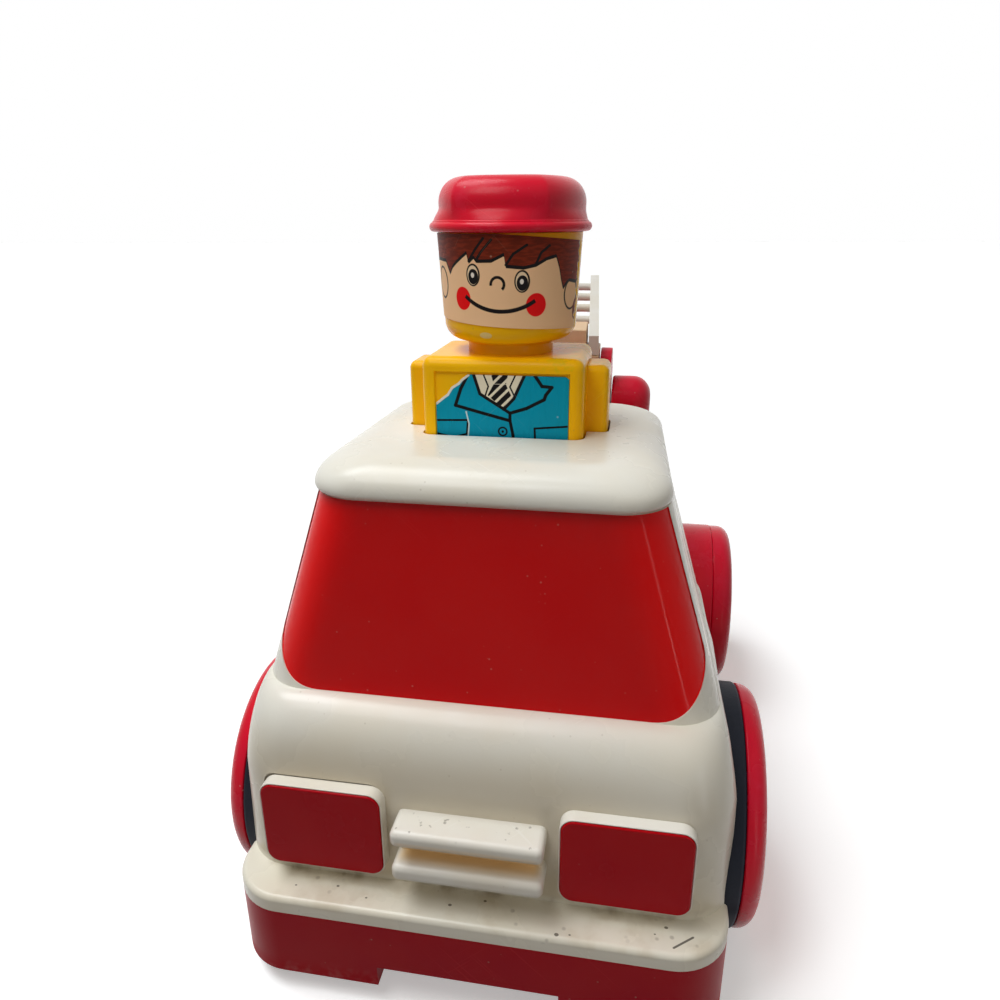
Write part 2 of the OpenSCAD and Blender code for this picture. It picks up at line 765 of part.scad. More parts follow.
module driver_hat() {
    color(red) difference() {
        on_driver_axis(0) rotate_extrude($fn = 96) hat_outline();
        on_driver_axis(hat_z - 1) cylinder(r = plug_r + play, h = plug_h + 1.5);
    }
}
face_low = chin_z + chin_r + 0.2;
face_high = hat_z - 0.1;
function head_at(z) = mix(head_r - jaw_in, head_r, (z - chin_z - chin_r) / (head_h - chin_r));
module face_label() {
    low_r = head_at(face_low) + 0.02;
    high_r = head_at(face_high) + 0.02;
    color(label_skin) on_driver_axis(0) rotate([0, 0, -90 - label_half])
        rotate_extrude(angle = 2 * label_half, $fn = 96)
            polygon([[low_r, face_low], [low_r + label_t, face_low], [high_r + label_t, face_high],
                [high_r, face_high]]);
}

// Guide post and return spring
spring_low = floor_z + post_boss_h + gap + wire_r;
spring_high = tube_low - gap - wire_r;
module guide_post() {
    color(metal) translate([post_x, post_y, floor_z]) cylinder(r = post_r, h = post_top - floor_z);
}
curl_rings = 8;
wire_sides = 6;
spring_rings = spring_turns * curl_rings;
function spring_point(i) = [coil_r * cos(360 * i / curl_rings), coil_r * sin(360 * i / curl_rings),
    mix(spring_low, spring_high, i / spring_rings)];
function wire_ring(i) = let (a = 360 * i / curl_rings, p = spring_point(i))
    [for (k = [0:wire_sides - 1]) let (b = 360 * k / wire_sides, o = wire_r * cos(b))
        [p[0] + o * cos(a), p[1] + o * sin(a), p[2] + wire_r * sin(b)]];
spring_gap = min([for (i = [0:spring_rings - curl_rings])
    norm(spring_point(i + curl_rings) - spring_point(i))]) - 2 * wire_r;
module return_spring() {
    echo("least gap between the spring's turns", spring_gap);
    points = [for (i = [0:spring_rings]) each wire_ring(i)];
    n = wire_sides;
    sides = [for (i = [0:spring_rings - 1], k = [0:n - 1]) let (a = i * n + k, b = i * n + (k + 1) % n)
        each [[a, b, b + n], [a, b + n, a + n]]];
    ends = [for (k = [1:n - 2]) each [[0, k + 1, k], spring_rings * n * [1, 1, 1] + [0, k, k + 1]]];
    color(metal) translate([post_x, post_y, 0]) polyhedron(points, concat(sides, ends));
}

// Gears
drive_x = 2;
clutch_h = 1.3;
clutch_r = 6;
flank_steps = 4;
function involute(rb, r) = let (a = acos(min(1, rb / r))) tan(a) * 180 / PI - a;
function polar(r, a) = [r * cos(a), r * sin(a)];
function gear_points(n) = let (
    rp = n * gear_m / 2, rb = rp * cos(pressure), tip = rp + addendum, root = rp - dedendum,
    low = max(rb, root), half = 90 / n - tooth_play / rp * 45 / PI)
    [for (i = [0:n - 1]) let (c = 360 * i / n) each concat(
        [polar(root, c - half - involute(rb, rp))],
        [for (k = [0:flank_steps]) let (r = mix(low, tip, k / flank_steps))
            polar(r, c - half - involute(rb, rp) + involute(rb, r))],
        [for (k = [flank_steps:-1:0]) let (r = mix(low, tip, k / flank_steps))
            polar(r, c + half + involute(rb, rp) - involute(rb, r))],
        [polar(root, c + half + involute(rb, rp))])];
module gear(x, y, z, n, turn) {
    side_plate(x, gear_w) translate([y, z]) rotate(turn) polygon(gear_points(n));
}
module drive_gear() {
    color(white_part) difference() {
        union() {
            gear(stem_x + (stem_w - gear_w) / 2, pinion_y, pinion_z, pinion_n, 0);
            x_rod(stem_x, pinion_y, pinion_z, pinion_n * gear_m / 2 - dedendum - 0.3,
                drive_x - stem_x + gear_w + 2);
            gear(drive_x, pinion_y, pinion_z, drive_n, mesh_angle);
        }
        x_rod(stem_x - 5, pinion_y, pinion_z, shaft_r + 0.02, 30);
    }
}
module drive_shaft() {
    l = plate_x[1] + plate_t - plate_x[0] + 1;
    color(metal) x_rod(plate_x[0] - 0.5, pinion_y, pinion_z, shaft_r, l);
}
dog_count = 4;
module clutch_dogs(x, turn) {
    intersection() {
        x_rod(x, front_axle_y, axle_z, clutch_r, clutch_h);
        for (k = [0:dog_count - 1]) translate([x, front_axle_y, axle_z])
            rotate([360 * k / dog_count + turn, 0, 0])
            translate([0, axle_r + 0.6, -0.9]) cube([clutch_h, clutch_r, 1.8]);
    }
}
clutch_x = drive_x + gear_w;
module axle_gear() {
    color(white_part) {
        difference() {
            gear(drive_x, front_axle_y, axle_z, axle_n, mesh_angle + 180 + 180 / axle_n);
            x_rod(drive_x - 1, front_axle_y, axle_z, axle_r + play, gear_w + 2);
        }
        clutch_dogs(clutch_x, 0);
    }
}
module clutch_disc() {
    disc_x = clutch_x + clutch_h + gap;
    color(metal) difference() {
        x_rod(disc_x, front_axle_y, axle_z, clutch_r, plate_x[1] - gap - disc_x);
        x_rod(disc_x - 1, front_axle_y, axle_z, axle_r + 0.02, 10);
    }
}
module gear_plate(i) {
    x = plate_x[i];
    foot_x = i == 0 ? x - foot_l : x;
    color(white_part) difference() {
        union() {
            side_plate(x, plate_t) {
                translate([front_axle_y, axle_z]) circle(tab_r);
                translate([pinion_y, pinion_z]) circle(shaft_r + 4);
                polygon([[front_axle_y - tab_r, axle_z], [front_axle_y - tab_r - 4, floor_z + foot_boss_h],
                    [front_axle_y + 22, floor_z + foot_boss_h], [pinion_y + shaft_r + 4, pinion_z],
                    [pinion_y - shaft_r - 4, pinion_z]]);
            }
            translate([foot_x, front_axle_y + foot_screw_at[0] - 4, floor_z + foot_boss_h])
                cube([foot_l + plate_t, foot_screw_at[1] - foot_screw_at[0] + 8, foot_t]);
        }
        x_rod(x - 1, front_axle_y, axle_z, axle_r + play, plate_t + 2);
        x_rod(x - 1, pinion_y, pinion_z, shaft_r + play, plate_t + 2);
        foot_screw_places() cylinder(r = small_screw_r + 0.1, h = base_top);
    }
}
module gear_plate_screws() {
    seat = floor_z + foot_boss_h + foot_t;
    color(metal) foot_screw_places() {
        translate([0, 0, floor_z + 0.4]) cylinder(r = small_screw_r, h = seat - floor_z - 0.4 + eps);
        translate([0, 0, seat]) cylinder(r = 2 * small_screw_r, h = 1.6);
    }
}

// Wheels, drawn as radius and distance from the mid plane
rear_span = wheel_span + 2 * rear_out;
rear_cap_w = cap_w + rear_cap_more;
rim_t = 3;
web_t = 3;
hub_wheel_r = 7;
seam = 0.1;
module wheel_view(r, out) {
    l = out - seam - wheel_in;
    translate([axle_r + 0.02, wheel_in]) square([hub_wheel_r - axle_r, l]);
    translate([axle_r + 0.02, out - seam - web_t]) square([r - axle_r - 1, web_t]);
    translate([r - rim_t, wheel_in]) square([rim_t, l]);
}
module front_wheel(side) {
    color(red) x_turned(side, front_axle_y, axle_z) wheel_view(wheel_r - rubber_t, wheel_span / 2 - cap_w);
}
module rear_wheel(side) {
    color(red) x_turned(side, rear_axle_y, axle_z) wheel_view(wheel_r, rear_span / 2 - rear_cap_w);
}
cap_round = 5;
dish_r = 19;
dish_d = 1.6;
cap_hub_r = 7;
axle_in_cap = 2;
module cap_view(out, w) {
    r = wheel_r - 0.3;
    difference() {
        union() {
            translate([0, out - w]) square([r - cap_round, w]);
            intersection() {
                translate([r - cap_round, out - cap_round]) circle(cap_round, $fn = 96);
                translate([0, out - w]) square([r, w]);
            }
            translate([0, out - w]) square([r, max(w - cap_round, 0) + eps]);
        }
        translate([cap_hub_r, out - dish_d]) square([dish_r - cap_hub_r, dish_d + 1]);
        translate([0, out - w - 1]) square([axle_r + 0.1, axle_in_cap + 1]);
    }
}
module front_cap(side) {
    color(red) x_turned(side, front_axle_y, axle_z) cap_view(wheel_span / 2, cap_w);
}
module rear_cap(side) {
    color(red) x_turned(side, rear_axle_y, axle_z) cap_view(rear_span / 2, rear_cap_w);
}
module tyre(side) {
    l = wheel_span / 2 - cap_w - seam - wheel_in - 0.5;
    color(rubber) x_turned(side, front_axle_y, axle_z)
        translate([wheel_r - rubber_t, wheel_in + 0.5]) square([rubber_t, l]);
}
module axle(y, reach) {
    color(metal) x_rod(-reach, y, axle_z, axle_r, 2 * reach);
}

// Turntable with its two ears
turn_z = deck_z + gap;
turn_top = turn_z + turn_h;
pivot_z = turn_top + pivot_up;
turn_round = 3;
ear_x = ear_inside / 2;
washer_r = hub_r + 3;
washer_t = 1.6;
hub_low = deck_z - 2 * wall - gap;
module turntable() {
    color(red) difference() {
        union() {
            translate([0, turn_y, 0]) rotate_extrude($fn = 96) {
                translate([0, turn_z]) square([turn_r, turn_h - turn_round]);
                translate([0, turn_z]) square([turn_r - turn_round, turn_h]);
                translate([turn_r - turn_round, turn_top - turn_round]) circle(turn_round);
                translate([0, hub_low]) square([hub_r, turn_z - hub_low + eps]);
            }
            for (x = [-ear_x - ear_t, ear_x]) side_plate(x, ear_t) {
                translate([turn_y, turn_top + ear_h - ear_d / 2]) circle(ear_d / 2);
                translate([turn_y - ear_d / 2, turn_top - 1]) square([ear_d, ear_h - ear_d / 2 + 1]);
            }
        }
        translate([0, turn_y, turn_z - 1]) difference() {
            cylinder(r = turn_r - wall, h = turn_h + 1 - wall);
            cylinder(r = hub_r + wall, h = turn_h);
        }
        x_rod(-base_w, turn_y, pivot_z, pin_r + play, 2 * base_w);
        translate([0, turn_y, hub_low - 1]) cylinder(r = screw_r + play, h = 13);
    }
}
module turntable_washer() {
    color(metal) translate([0, turn_y, hub_low - washer_t]) difference() {
        cylinder(r = washer_r, h = washer_t);
        translate([0, 0, -1]) cylinder(r = screw_r + 0.1, h = washer_t + 2);
    }
}
module turntable_screw() {
    seat = hub_low - washer_t;
    color(metal) translate([0, turn_y, 0]) {
        translate([0, 0, seat - screw_head_h]) cylinder(r = screw_head_r, h = screw_head_h);
        translate([0, 0, seat - eps]) cylinder(r = screw_r, h = 12);
    }
}

// Ladder, drawn level about its pivot and then tilted
rail_front = 6.3;
rail_x = ear_x - 0.5 - rail_w;
base_back = 8.2;
base_front = 0.8;
rung_first = 20;
rung_count = floor((rail_l - rail_front - rung_first - 3) / rung_step) + 1;
rail_lean = atan(rail_taper / rail_l);
module on_pivot() {
    translate([0, turn_y, pivot_z]) rotate([tilt, 0, 0]) children();
}
module rail(side) {
    translate([side * (rail_x + rail_w / 2), -rail_front, rail_up - rail_h]) rotate([0, 0, side * rail_lean])
        translate([-rail_w / 2, 0, 0]) cube([rail_w, rail_l, rail_h]);
}
module ladder() {
    color(white_part) on_pivot() {
        for (s = [-1, 1]) rail(s);
        for (k = [0:rung_count - 1]) let (y = rung_first + k * rung_step,
            half = rail_x - y * tan(rail_lean) + rail_w / 2)
            translate([-half, y, rail_up - rail_h / 2]) rotate([0, 90, 0])
                cylinder(r = rung_r, h = 2 * half, $fn = 32);
    }
}
cheek_r = 6.5;
module ladder_base() {
    inner = rail_x - gap - (base_back + rail_front) * tan(rail_lean);
    color(cream) on_pivot() difference() {
        union() {
            translate([-inner, -base_front, rail_up - rail_h - 6])
                cube([2 * inner, base_front + base_back, rail_h + 6]);
            for (s = [-1, 1]) {
                x = s > 0 ? rail_x : -rail_x - rail_w;
                side_plate(x, rail_w) {
                    circle(cheek_r);
                    translate([-cheek_r, 0]) square([2 * cheek_r, rail_up - rail_h - gap]);
                }
            }
            translate([-rail_x - rail_w, -base_front, rail_up - rail_h - 6])
                cube([2 * rail_x + 2 * rail_w, base_front + cheek_r, 6 - gap]);
        }
        x_rod(-base_w, 0, 0, pin_r + 0.02, 2 * base_w);
    }
}
knob_in = ear_x + ear_t + gap + 0.2;
module ladder_pin() {
    reach = knob_in + knob_w - 4;
    color(metal) x_rod(-reach, turn_y, pivot_z, pin_r, 2 * reach);
}
knob_end_r = 6.5;
module ladder_knob(side) {
    color(red) x_turned(side, turn_y, pivot_z) difference() {
        union() {
            translate([0, knob_in]) square([knob_r - 1, knob_w - knob_end_r]);
            translate([0, knob_in + 1]) square([knob_r, knob_w - knob_end_r - 1]);
            translate([knob_r - 1, knob_in + 1]) circle(1, $fn = 24);
            translate([0, knob_in]) square([knob_r - knob_end_r, knob_w]);
            intersection() {
                translate([knob_r - knob_end_r, knob_in + knob_w - knob_end_r]) circle(knob_end_r);
                translate([0, knob_in]) square([knob_r, knob_w]);
            }
        }
        translate([0, knob_in - 1]) square([pin_r + 0.02, knob_w - 3 + 0.2]);
    }
}

cab_shell();
windscreen();
headlight_bezel(-1);  // left_headlight_bezel
headlight_bezel(1);  // right_headlight_bezel
headlight(-1);  // left_headlight
headlight(1);  // right_headlight
grille();
chassis();
rear_body();
body_screws();
driver_torso();
driver_head();
driver_hat();
face_label();
jacket_label();
return_spring();
guide_post();
gear_plate(0);  // left_gear_plate
gear_plate(1);  // right_gear_plate
gear_plate_screws();
drive_shaft();
drive_gear();
axle_gear();
clutch_disc();
axle(front_axle_y, wheel_span / 2 - cap_w + axle_in_cap - 0.5);  // front_axle
front_wheel(-1);  // left_front_wheel
front_wheel(1);  // right_front_wheel
tyre(-1);  // left_front_tyre
tyre(1);  // right_front_tyre
front_cap(-1);  // left_front_cap
front_cap(1);  // right_front_cap
axle(rear_axle_y, rear_span / 2 - rear_cap_w + axle_in_cap - 0.5);  // rear_axle
rear_wheel(-1);  // left_rear_wheel
rear_wheel(1);  // right_rear_wheel
rear_cap(-1);  // left_rear_cap
rear_cap(1);  // right_rear_cap
turntable();
turntable_washer();
turntable_screw();
ladder();
ladder_base();
ladder_pin();
ladder_knob(-1);  // left_ladder_knob
ladder_knob(1);  // right_ladder_knob
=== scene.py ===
"""Looks of a press-down toy fire truck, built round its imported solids.

Sizes are in metres. The front of the truck faces -Y and the ground is Z = 0.
"""

import json
import math

import bmesh
import bpy
from bpy.props import FloatProperty, FloatVectorProperty, PointerProperty
from bpy.types import Operator, Panel, PropertyGroup
from mathutils import Matrix, Vector


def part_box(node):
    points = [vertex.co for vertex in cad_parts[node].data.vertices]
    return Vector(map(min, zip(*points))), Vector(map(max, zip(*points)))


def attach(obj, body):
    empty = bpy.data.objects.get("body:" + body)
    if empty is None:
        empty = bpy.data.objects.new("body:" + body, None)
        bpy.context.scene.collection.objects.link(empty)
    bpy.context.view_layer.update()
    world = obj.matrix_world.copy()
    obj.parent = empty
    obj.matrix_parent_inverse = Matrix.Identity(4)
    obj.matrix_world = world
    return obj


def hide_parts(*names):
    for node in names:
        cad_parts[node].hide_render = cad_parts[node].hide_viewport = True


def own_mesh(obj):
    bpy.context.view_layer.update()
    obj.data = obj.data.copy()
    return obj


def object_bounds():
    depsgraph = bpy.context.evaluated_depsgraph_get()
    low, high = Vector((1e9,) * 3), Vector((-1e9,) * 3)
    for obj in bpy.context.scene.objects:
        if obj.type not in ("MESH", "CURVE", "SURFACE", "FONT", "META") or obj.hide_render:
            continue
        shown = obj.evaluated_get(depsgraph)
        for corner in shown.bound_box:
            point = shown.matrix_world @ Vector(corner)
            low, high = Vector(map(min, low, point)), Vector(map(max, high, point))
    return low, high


bl_info = {
    "name": "Toy Fire Truck",
    "version": (1, 0, 0),
    "blender": (4, 5, 0),
    "location": "3D View > Sidebar > Truck",
    "description": "Builds the visible mouldings and finishes of a press-down toy fire truck",
    "category": "Object",
}

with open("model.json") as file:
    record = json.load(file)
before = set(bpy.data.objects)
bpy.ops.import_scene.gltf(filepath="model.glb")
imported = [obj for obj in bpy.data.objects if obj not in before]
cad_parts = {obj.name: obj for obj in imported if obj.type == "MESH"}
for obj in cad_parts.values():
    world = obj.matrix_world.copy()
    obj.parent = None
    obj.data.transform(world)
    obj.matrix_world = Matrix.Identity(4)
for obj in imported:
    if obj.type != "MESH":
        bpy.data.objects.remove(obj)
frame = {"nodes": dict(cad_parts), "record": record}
CAD_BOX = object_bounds()
FRONT = CAD_BOX[0].y
MM = 0.001
PER_METRE = 1000.0
FULL_TURN = 2 * math.pi


def size(name, description, default):
    """A length that a user may change."""
    return FloatProperty(name=name, description=description, default=default, unit="LENGTH", precision=4)


def tint(name, description, default):
    """A colour that a user may change."""
    return FloatVectorProperty(
        name=name, description=description, default=default, subtype="COLOR", size=3, min=0.0, max=1.0
    )


class CabSizes(PropertyGroup):
    """Sizes of the cab moulding, counted back from the bumper and up from the ground"""

    wall: size("Wall", "Thickness of the moulding", 0.0024)
    base_top: size("Base top", "Height of the joint with the base", 0.026)
    face: size("Face", "Bumper to the flat face", 0.0105)
    back: size("Back", "Bumper to the back wall", 0.1075)
    low_width: size("Low width", "Width just above the bumper ledge", 0.1285)
    belt_height: size("Belt height", "Where the face starts to curve back", 0.058)
    belt_width: size("Belt width", "Width where the face starts to curve back", 0.1264)
    foot_back: size("Foot back", "Bumper to the windscreen's foot", 0.0215)
    foot_height: size("Foot height", "Height of the windscreen's foot", 0.078)
    foot_width: size("Foot width", "Width at the windscreen's foot", 0.1172)
    head_back: size("Head back", "Bumper to the windscreen's head", 0.028)
    head_height: size("Head height", "Height of the windscreen's head", 0.1276)
    head_width: size("Head width", "Width at the windscreen's head", 0.0880)
    brow: size("Brow", "How far the roof stands out over the windscreen", 0.002)
    roof_height: size("Roof height", "Height of the roof", 0.137)
    roof_round: size("Roof round", "Reach of the roof's round edge", 0.0105)
    nose_radius: size("Nose radius", "Corner radius in plan at the bumper", 0.014)
    glass_radius: size("Glass radius", "Corner radius in plan at the windscreen's foot", 0.0125)
    brow_radius: size("Brow radius", "Corner radius in plan at the roof", 0.013)
    rear_radius: size("Rear radius", "Corner radius in plan at the back", 0.010)
    ledge_height: size("Ledge height", "Height of the bumper ledge", 0.0045)
    ledge_width: size("Ledge width", "Width of the bumper ledge", 0.126)
    ledge_lip: size("Ledge lip", "Radius of the ledge's upper edge", 0.0015)
    window_radius: size("Window radius", "Radius of the windscreen's lower corners", 0.012)
    window_side: size("Window side", "How far the glass ends short of the side at its foot", 0.0006)
    window_head: size("Window head", "How far the glass ends short of the side at its head", 0.0014)
    taper: size("Taper", "How much each side draws in towards the back, above the belt", 0.0022)
    brow_side: size("Brow side", "How far the roof stands out over the sides", 0.0001)
    brow_lip: size("Brow lip", "Radius of the roof's lower edge", 0.0018)
    slot_room: size("Slot room", "Room round the driver in the roof", 0.0005)


class FigureSizes(PropertyGroup):
    """Sizes of the driver, the lamps, the wheels and the rear body"""

    torso_width: size("Torso width", "Width of the torso", 0.042)
    torso_depth: size("Torso depth", "Depth of the torso", 0.031)
    torso_low: size("Torso low", "Height of the torso's lower edge", 0.092)
    shoulder: size("Shoulder", "Height of the shoulders", 0.1572)
    torso_round: size("Torso round", "Radius of the torso's edges", 0.0026)
    rib_reach: size("Rib reach", "How far a side rib stands out", 0.0058)
    rib_depth: size("Rib depth", "Width of a side rib", 0.013)
    rib_drop: size("Rib drop", "Top of a rib below the shoulder", 0.0028)
    neck_radius: size("Neck radius", "Radius of the neck", 0.0113)
    chin: size("Chin", "Height of the chin", 0.1605)
    chin_round: size("Chin round", "Radius under the chin", 0.0045)
    jaw_radius: size("Jaw radius", "Radius of the head at the jaw", 0.0173)
    head_radius: size("Head radius", "Radius of the head under the hat", 0.0185)
    hat_low: size("Hat low", "Height of the hat's brim", 0.187)
    hat_top: size("Hat top", "Height of the hat", 0.200)
    brim_radius: size("Brim radius", "Radius of the hat's brim", 0.0207)
    wheel_radius: size("Wheel radius", "Radius of a wheel", 0.033)
    lamp_width: size("Lamp width", "Width of a headlight", 0.029)
    lamp_height: size("Lamp height", "Height of a headlight", 0.022)
    lamp_rim: size("Lamp rim", "How far a headlight's pad reaches past its lamp in the solids", 0.0013)
    lamp_edge: size("Lamp edge", "Width of the white edge that shows round a lamp", 0.0004)
    lamp_corner: size("Lamp corner", "Corner radius of a headlight", 0.0024)
    lip: size("Lip", "Thickness of a grille lip", 0.0046)
    grille_top: size("Grille top", "Top of the upper lip below the top of the grille", 0.0022)
    tail_knee: size("Tail knee", "Height where the rear body's sides start to lean in", 0.062)
    tail_top: size("Tail top", "Width across the rear body's deck", 0.084)
    tail_round: size("Tail round", "Radius of the deck's edges", 0.008)
    tail_corner: size("Tail corner", "Radius of the rear body's upright corners", 0.006)


class Colours(PropertyGroup):
    """Colours of the mouldings and the printed labels"""

    cream: tint("Cream", "Cab moulding", (0.80, 0.78, 0.70))
    cream_aged: tint("Aged cream", "Cab moulding where it has yellowed", (0.74, 0.65, 0.47))
    trim: tint("Trim", "Lamp rims, grille and ladder", (0.78, 0.75, 0.68))
    window: tint("Window", "Windscreen", (0.66, 0.0, 0.0))
    # Painted light: a brighter red for the windscreen towards its sides.
    window_side_light: tint("Window edge", "Windscreen towards its sides", (1.0, 0.0, 0.0))
    lamp: tint("Lamp", "Headlights", (0.46, 0.0, 0.004))
    base: tint("Base", "Base pan", (0.40, 0.0, 0.006))
    red: tint("Red", "Wheels, hat, knobs and rear body", (0.72, 0.001, 0.018))
    yellow: tint("Yellow", "Driver", (1.0, 0.54, 0.002))
    rubber: tint("Rubber", "Rings on the front wheels", (0.008, 0.010, 0.018))
    nylon: tint("Nylon", "Gears and gear plates", (0.72, 0.70, 0.64))
    steel: tint("Steel", "Axles, pins and screws", (0.52, 0.52, 0.53))
    # Painted warm shade on the ladder base, which is white plastic.
    peach: tint("Peach", "Ladder base", (0.78, 0.52, 0.30))
    skin: tint("Skin", "Face label", (1.0, 0.63, 0.36))
    hair: tint("Hair", "Hair on the face label", (0.13, 0.016, 0.006))
    cheek: tint("Cheek", "Cheeks on the face label", (0.90, 0.008, 0.010))
    ink: tint("Ink", "Lines on the labels", (0.002, 0.001, 0.001))
    jacket: tint("Jacket", "Jacket label", (0.001, 0.31, 0.47))
    shirt: tint("Shirt", "Shirt on the jacket label", (0.86, 0.78, 0.60))


def cab_sizes():
    """The cab's sizes in this scene."""
    return bpy.context.scene.truck_cab


def figure_sizes():
    """The sizes of the driver, lamps, wheels and rear body in this scene."""
    return bpy.context.scene.truck_figure


def colours():
    """The colours in this scene."""
    return bpy.context.scene.truck_colours


# Meshes


def solid(name, bm):
    """Make an object from a finished bmesh."""
    bmesh.ops.remove_doubles(bm, verts=bm.verts, dist=1e-6)
    bmesh.ops.recalc_face_normals(bm, faces=bm.faces)
    mesh = bpy.data.meshes.new(name)
    bm.to_mesh(mesh)
    bm.free()
    piece = bpy.data.objects.new(name, mesh)
    bpy.context.scene.collection.objects.link(piece)
    return piece


def carve(piece, other, operation):
    """Join or cut a piece with another solid, which is used up."""
    cut = piece.modifiers.new("Carve", "BOOLEAN")
    cut.operation = operation
    cut.solver = "EXACT"
    cut.object = other
    graph = bpy.context.evaluated_depsgraph_get()
    mesh = bpy.data.meshes.new_from_object(piece.evaluated_get(graph))
    piece.modifiers.clear()
    old = piece.data
    piece.data = mesh
    bpy.data.meshes.remove(old)
    used = other.data
    bpy.data.objects.remove(other)
    bpy.data.meshes.remove(used)


def dress(piece, body, slot, nodes, edge=0.0, segments=3, angle=35.0):
    """Smooth a piece, soften its edges, give it its finish and let it ride on a body."""
    bm = bmesh.new()
    bm.from_mesh(piece.data)
    bmesh.ops.remove_doubles(bm, verts=bm.verts, dist=2e-6)
    for face in bm.faces:
        face.smooth = True
        face.material_index = 0
    for line in bm.edges:
        line.smooth = len(line.link_faces) == 2 and line.calc_face_angle(0.0) < math.radians(angle)
    bm.to_mesh(piece.data)
    bm.free()
    piece.data.materials.clear()
    piece.data.materials.append(finish_of(slot))
    if edge > 0.0:
        soft = piece.modifiers.new("Soft edges", "BEVEL")
        soft.width = edge
        soft.segments = segments
        soft.limit_method = "ANGLE"
        soft.angle_limit = math.radians(angle)
        soft.harden_normals = True
    level = piece.modifiers.new("Level faces", "WEIGHTED_NORMAL")
    level.keep_sharp = True
    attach(piece, body)
    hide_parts(*nodes)
    return piece


def packed(node):
    """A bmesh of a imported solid."""
    bm = bmesh.new()
    bm.from_mesh(frame["nodes"][node].data)
    bmesh.ops.remove_doubles(bm, verts=bm.verts, dist=1e-6)
    return bm


def softened(node, body, slot, edge, trim=None):
    """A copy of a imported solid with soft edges, which stands for it and may be cut to a trim form."""
    bm = packed(node)
    bmesh.ops.dissolve_limit(bm, angle_limit=math.radians(0.4), verts=bm.verts, edges=bm.edges)
    piece = solid("soft_" + node, bm)
    if trim:
        carve(piece, trim, "INTERSECT")
    return dress(piece, body, slot, [node], edge, 2, 40.0)


def loft(name, rings):
    """Bridge closed outlines, one above the other, into a closed solid."""
    bm = bmesh.new()
    loops = []
    for ring in rings:
        verts = [bm.verts.new(point) for point in ring]
        loops.append([bm.edges.new((verts[i - 1], verts[i])) for i in range(len(verts))])
    for low, high in zip(loops, loops[1:]):
        bmesh.ops.bridge_loops(bm, edges=low + high)
    for loop in (loops[0], loops[-1]):
        bmesh.ops.contextual_create(bm, geom=loop)
    return solid(name, bm)


def only(items, kind):
    """The items of one kind."""
    return [item for item in items if isinstance(item, kind)]


def block(outline, place, along):
    """Draw an outline, place it point by point and pull it along a vector."""
    bm = bmesh.new()
    face = bm.faces.new([bm.verts.new(place(u, v)) for u, v in outline])
    pulled = bmesh.ops.extrude_face_region(bm, geom=[face])["geom"]
    bmesh.ops.translate(bm, vec=along, verts=only(pulled, bmesh.types.BMVert))
    return bm


def raised_plate(width, height, radius, rise):
    """A round-cornered plate pulled up out of the XY plane, and its upper faces."""
    bm = bmesh.new()
    corners = bmesh.ops.create_grid(bm, x_segments=1, y_segments=1, size=0.5)["verts"]
    bmesh.ops.scale(bm, vec=(width, height, 1.0), verts=corners)
    bmesh.ops.bevel(
        bm, geom=corners, offset=radius, offset_type="OFFSET", affect="VERTICES",
        segments=8, profile=0.5, material=-1,
    )
    pulled = bmesh.ops.extrude_face_region(bm, geom=bm.faces[:])["geom"]
    bmesh.ops.translate(bm, vec=(0, 0, rise), verts=only(pulled, bmesh.types.BMVert))
    return bm, only(pulled, bmesh.types.BMFace)


def stand(bm, place):
    """Turn a plate to face the front and set it in place."""
    bmesh.ops.rotate(bm, cent=(0, 0, 0), matrix=Matrix.Rotation(math.pi / 2, 3, "X"), verts=bm.verts)
    bmesh.ops.translate(bm, vec=place, verts=bm.verts)


def round_over(bm, edges, radius, steps):
    """Round some edges."""
    bmesh.ops.bevel(
        bm, geom=list(edges), offset=radius, offset_type="OFFSET", affect="EDGES",
        segments=steps, profile=0.5, material=-1, clamp_overlap=True,
    )


def box_of(bm, centre, lengths):
    """Add a box to a bmesh."""
    verts = bmesh.ops.create_cube(bm, size=1.0)["verts"]
    bmesh.ops.scale(bm, vec=lengths, verts=verts)
    bmesh.ops.translate(bm, vec=centre, verts=verts)
    return verts


def turned(name, profile, centre, direction, steps=96, sweep=FULL_TURN):
    """Spin a profile of radius and distance about an axis along X or Z."""
    axis = Vector(direction)
    bm = bmesh.new()
    verts = []
    for radius, along in profile:
        out = Vector((0.0, 0.0, radius)) if abs(axis.x) > 0.5 else Vector((0.0, -radius, 0.0))
        verts.append(bm.verts.new(Vector(centre) + axis * along + out))
    lines = [bm.edges.new(pair) for pair in zip(verts, verts[1:])]
    bmesh.ops.spin(
        bm, geom=verts + lines, cent=centre, axis=axis, angle=sweep, steps=steps,
        use_merge=sweep == FULL_TURN,
    )
    return solid(name, bm)


def bend(cx, cy, radius, start, end, steps):
    """Points of a fillet from one angle to another, in degrees."""
    turns = [math.radians(start + (end - start) * i / steps) for i in range(steps + 1)]
    return [(cx + radius * math.cos(t), cy + radius * math.sin(t)) for t in turns]


def quarter(steps):
    """The angles of a quarter turn."""
    return [math.radians(90 * i / steps) for i in range(steps + 1)]


# Forms of the cab and the rear body

SEAT_SHIFT = Vector((-0.6, 0.0, 0.1)) * MM
SEAT_DEPTH = 3 * MM
ARCH_ROOM = 2.3 * MM
ARCH_DEPTH = 30 * MM


def middle_of(node):
    """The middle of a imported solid's box."""
    low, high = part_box(node)
    return (low + high) / 2


def driver_axis():
    """Where the driver's axis stands along the truck."""
    return sum(corner.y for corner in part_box("driver_hat")) / 2


def pad_size():
    """Width, height and corner radius of a headlight's pad."""
    f = figure_sizes()
    return f.lamp_width + 2 * f.lamp_rim, f.lamp_height + 2 * f.lamp_rim, f.lamp_corner + f.lamp_rim


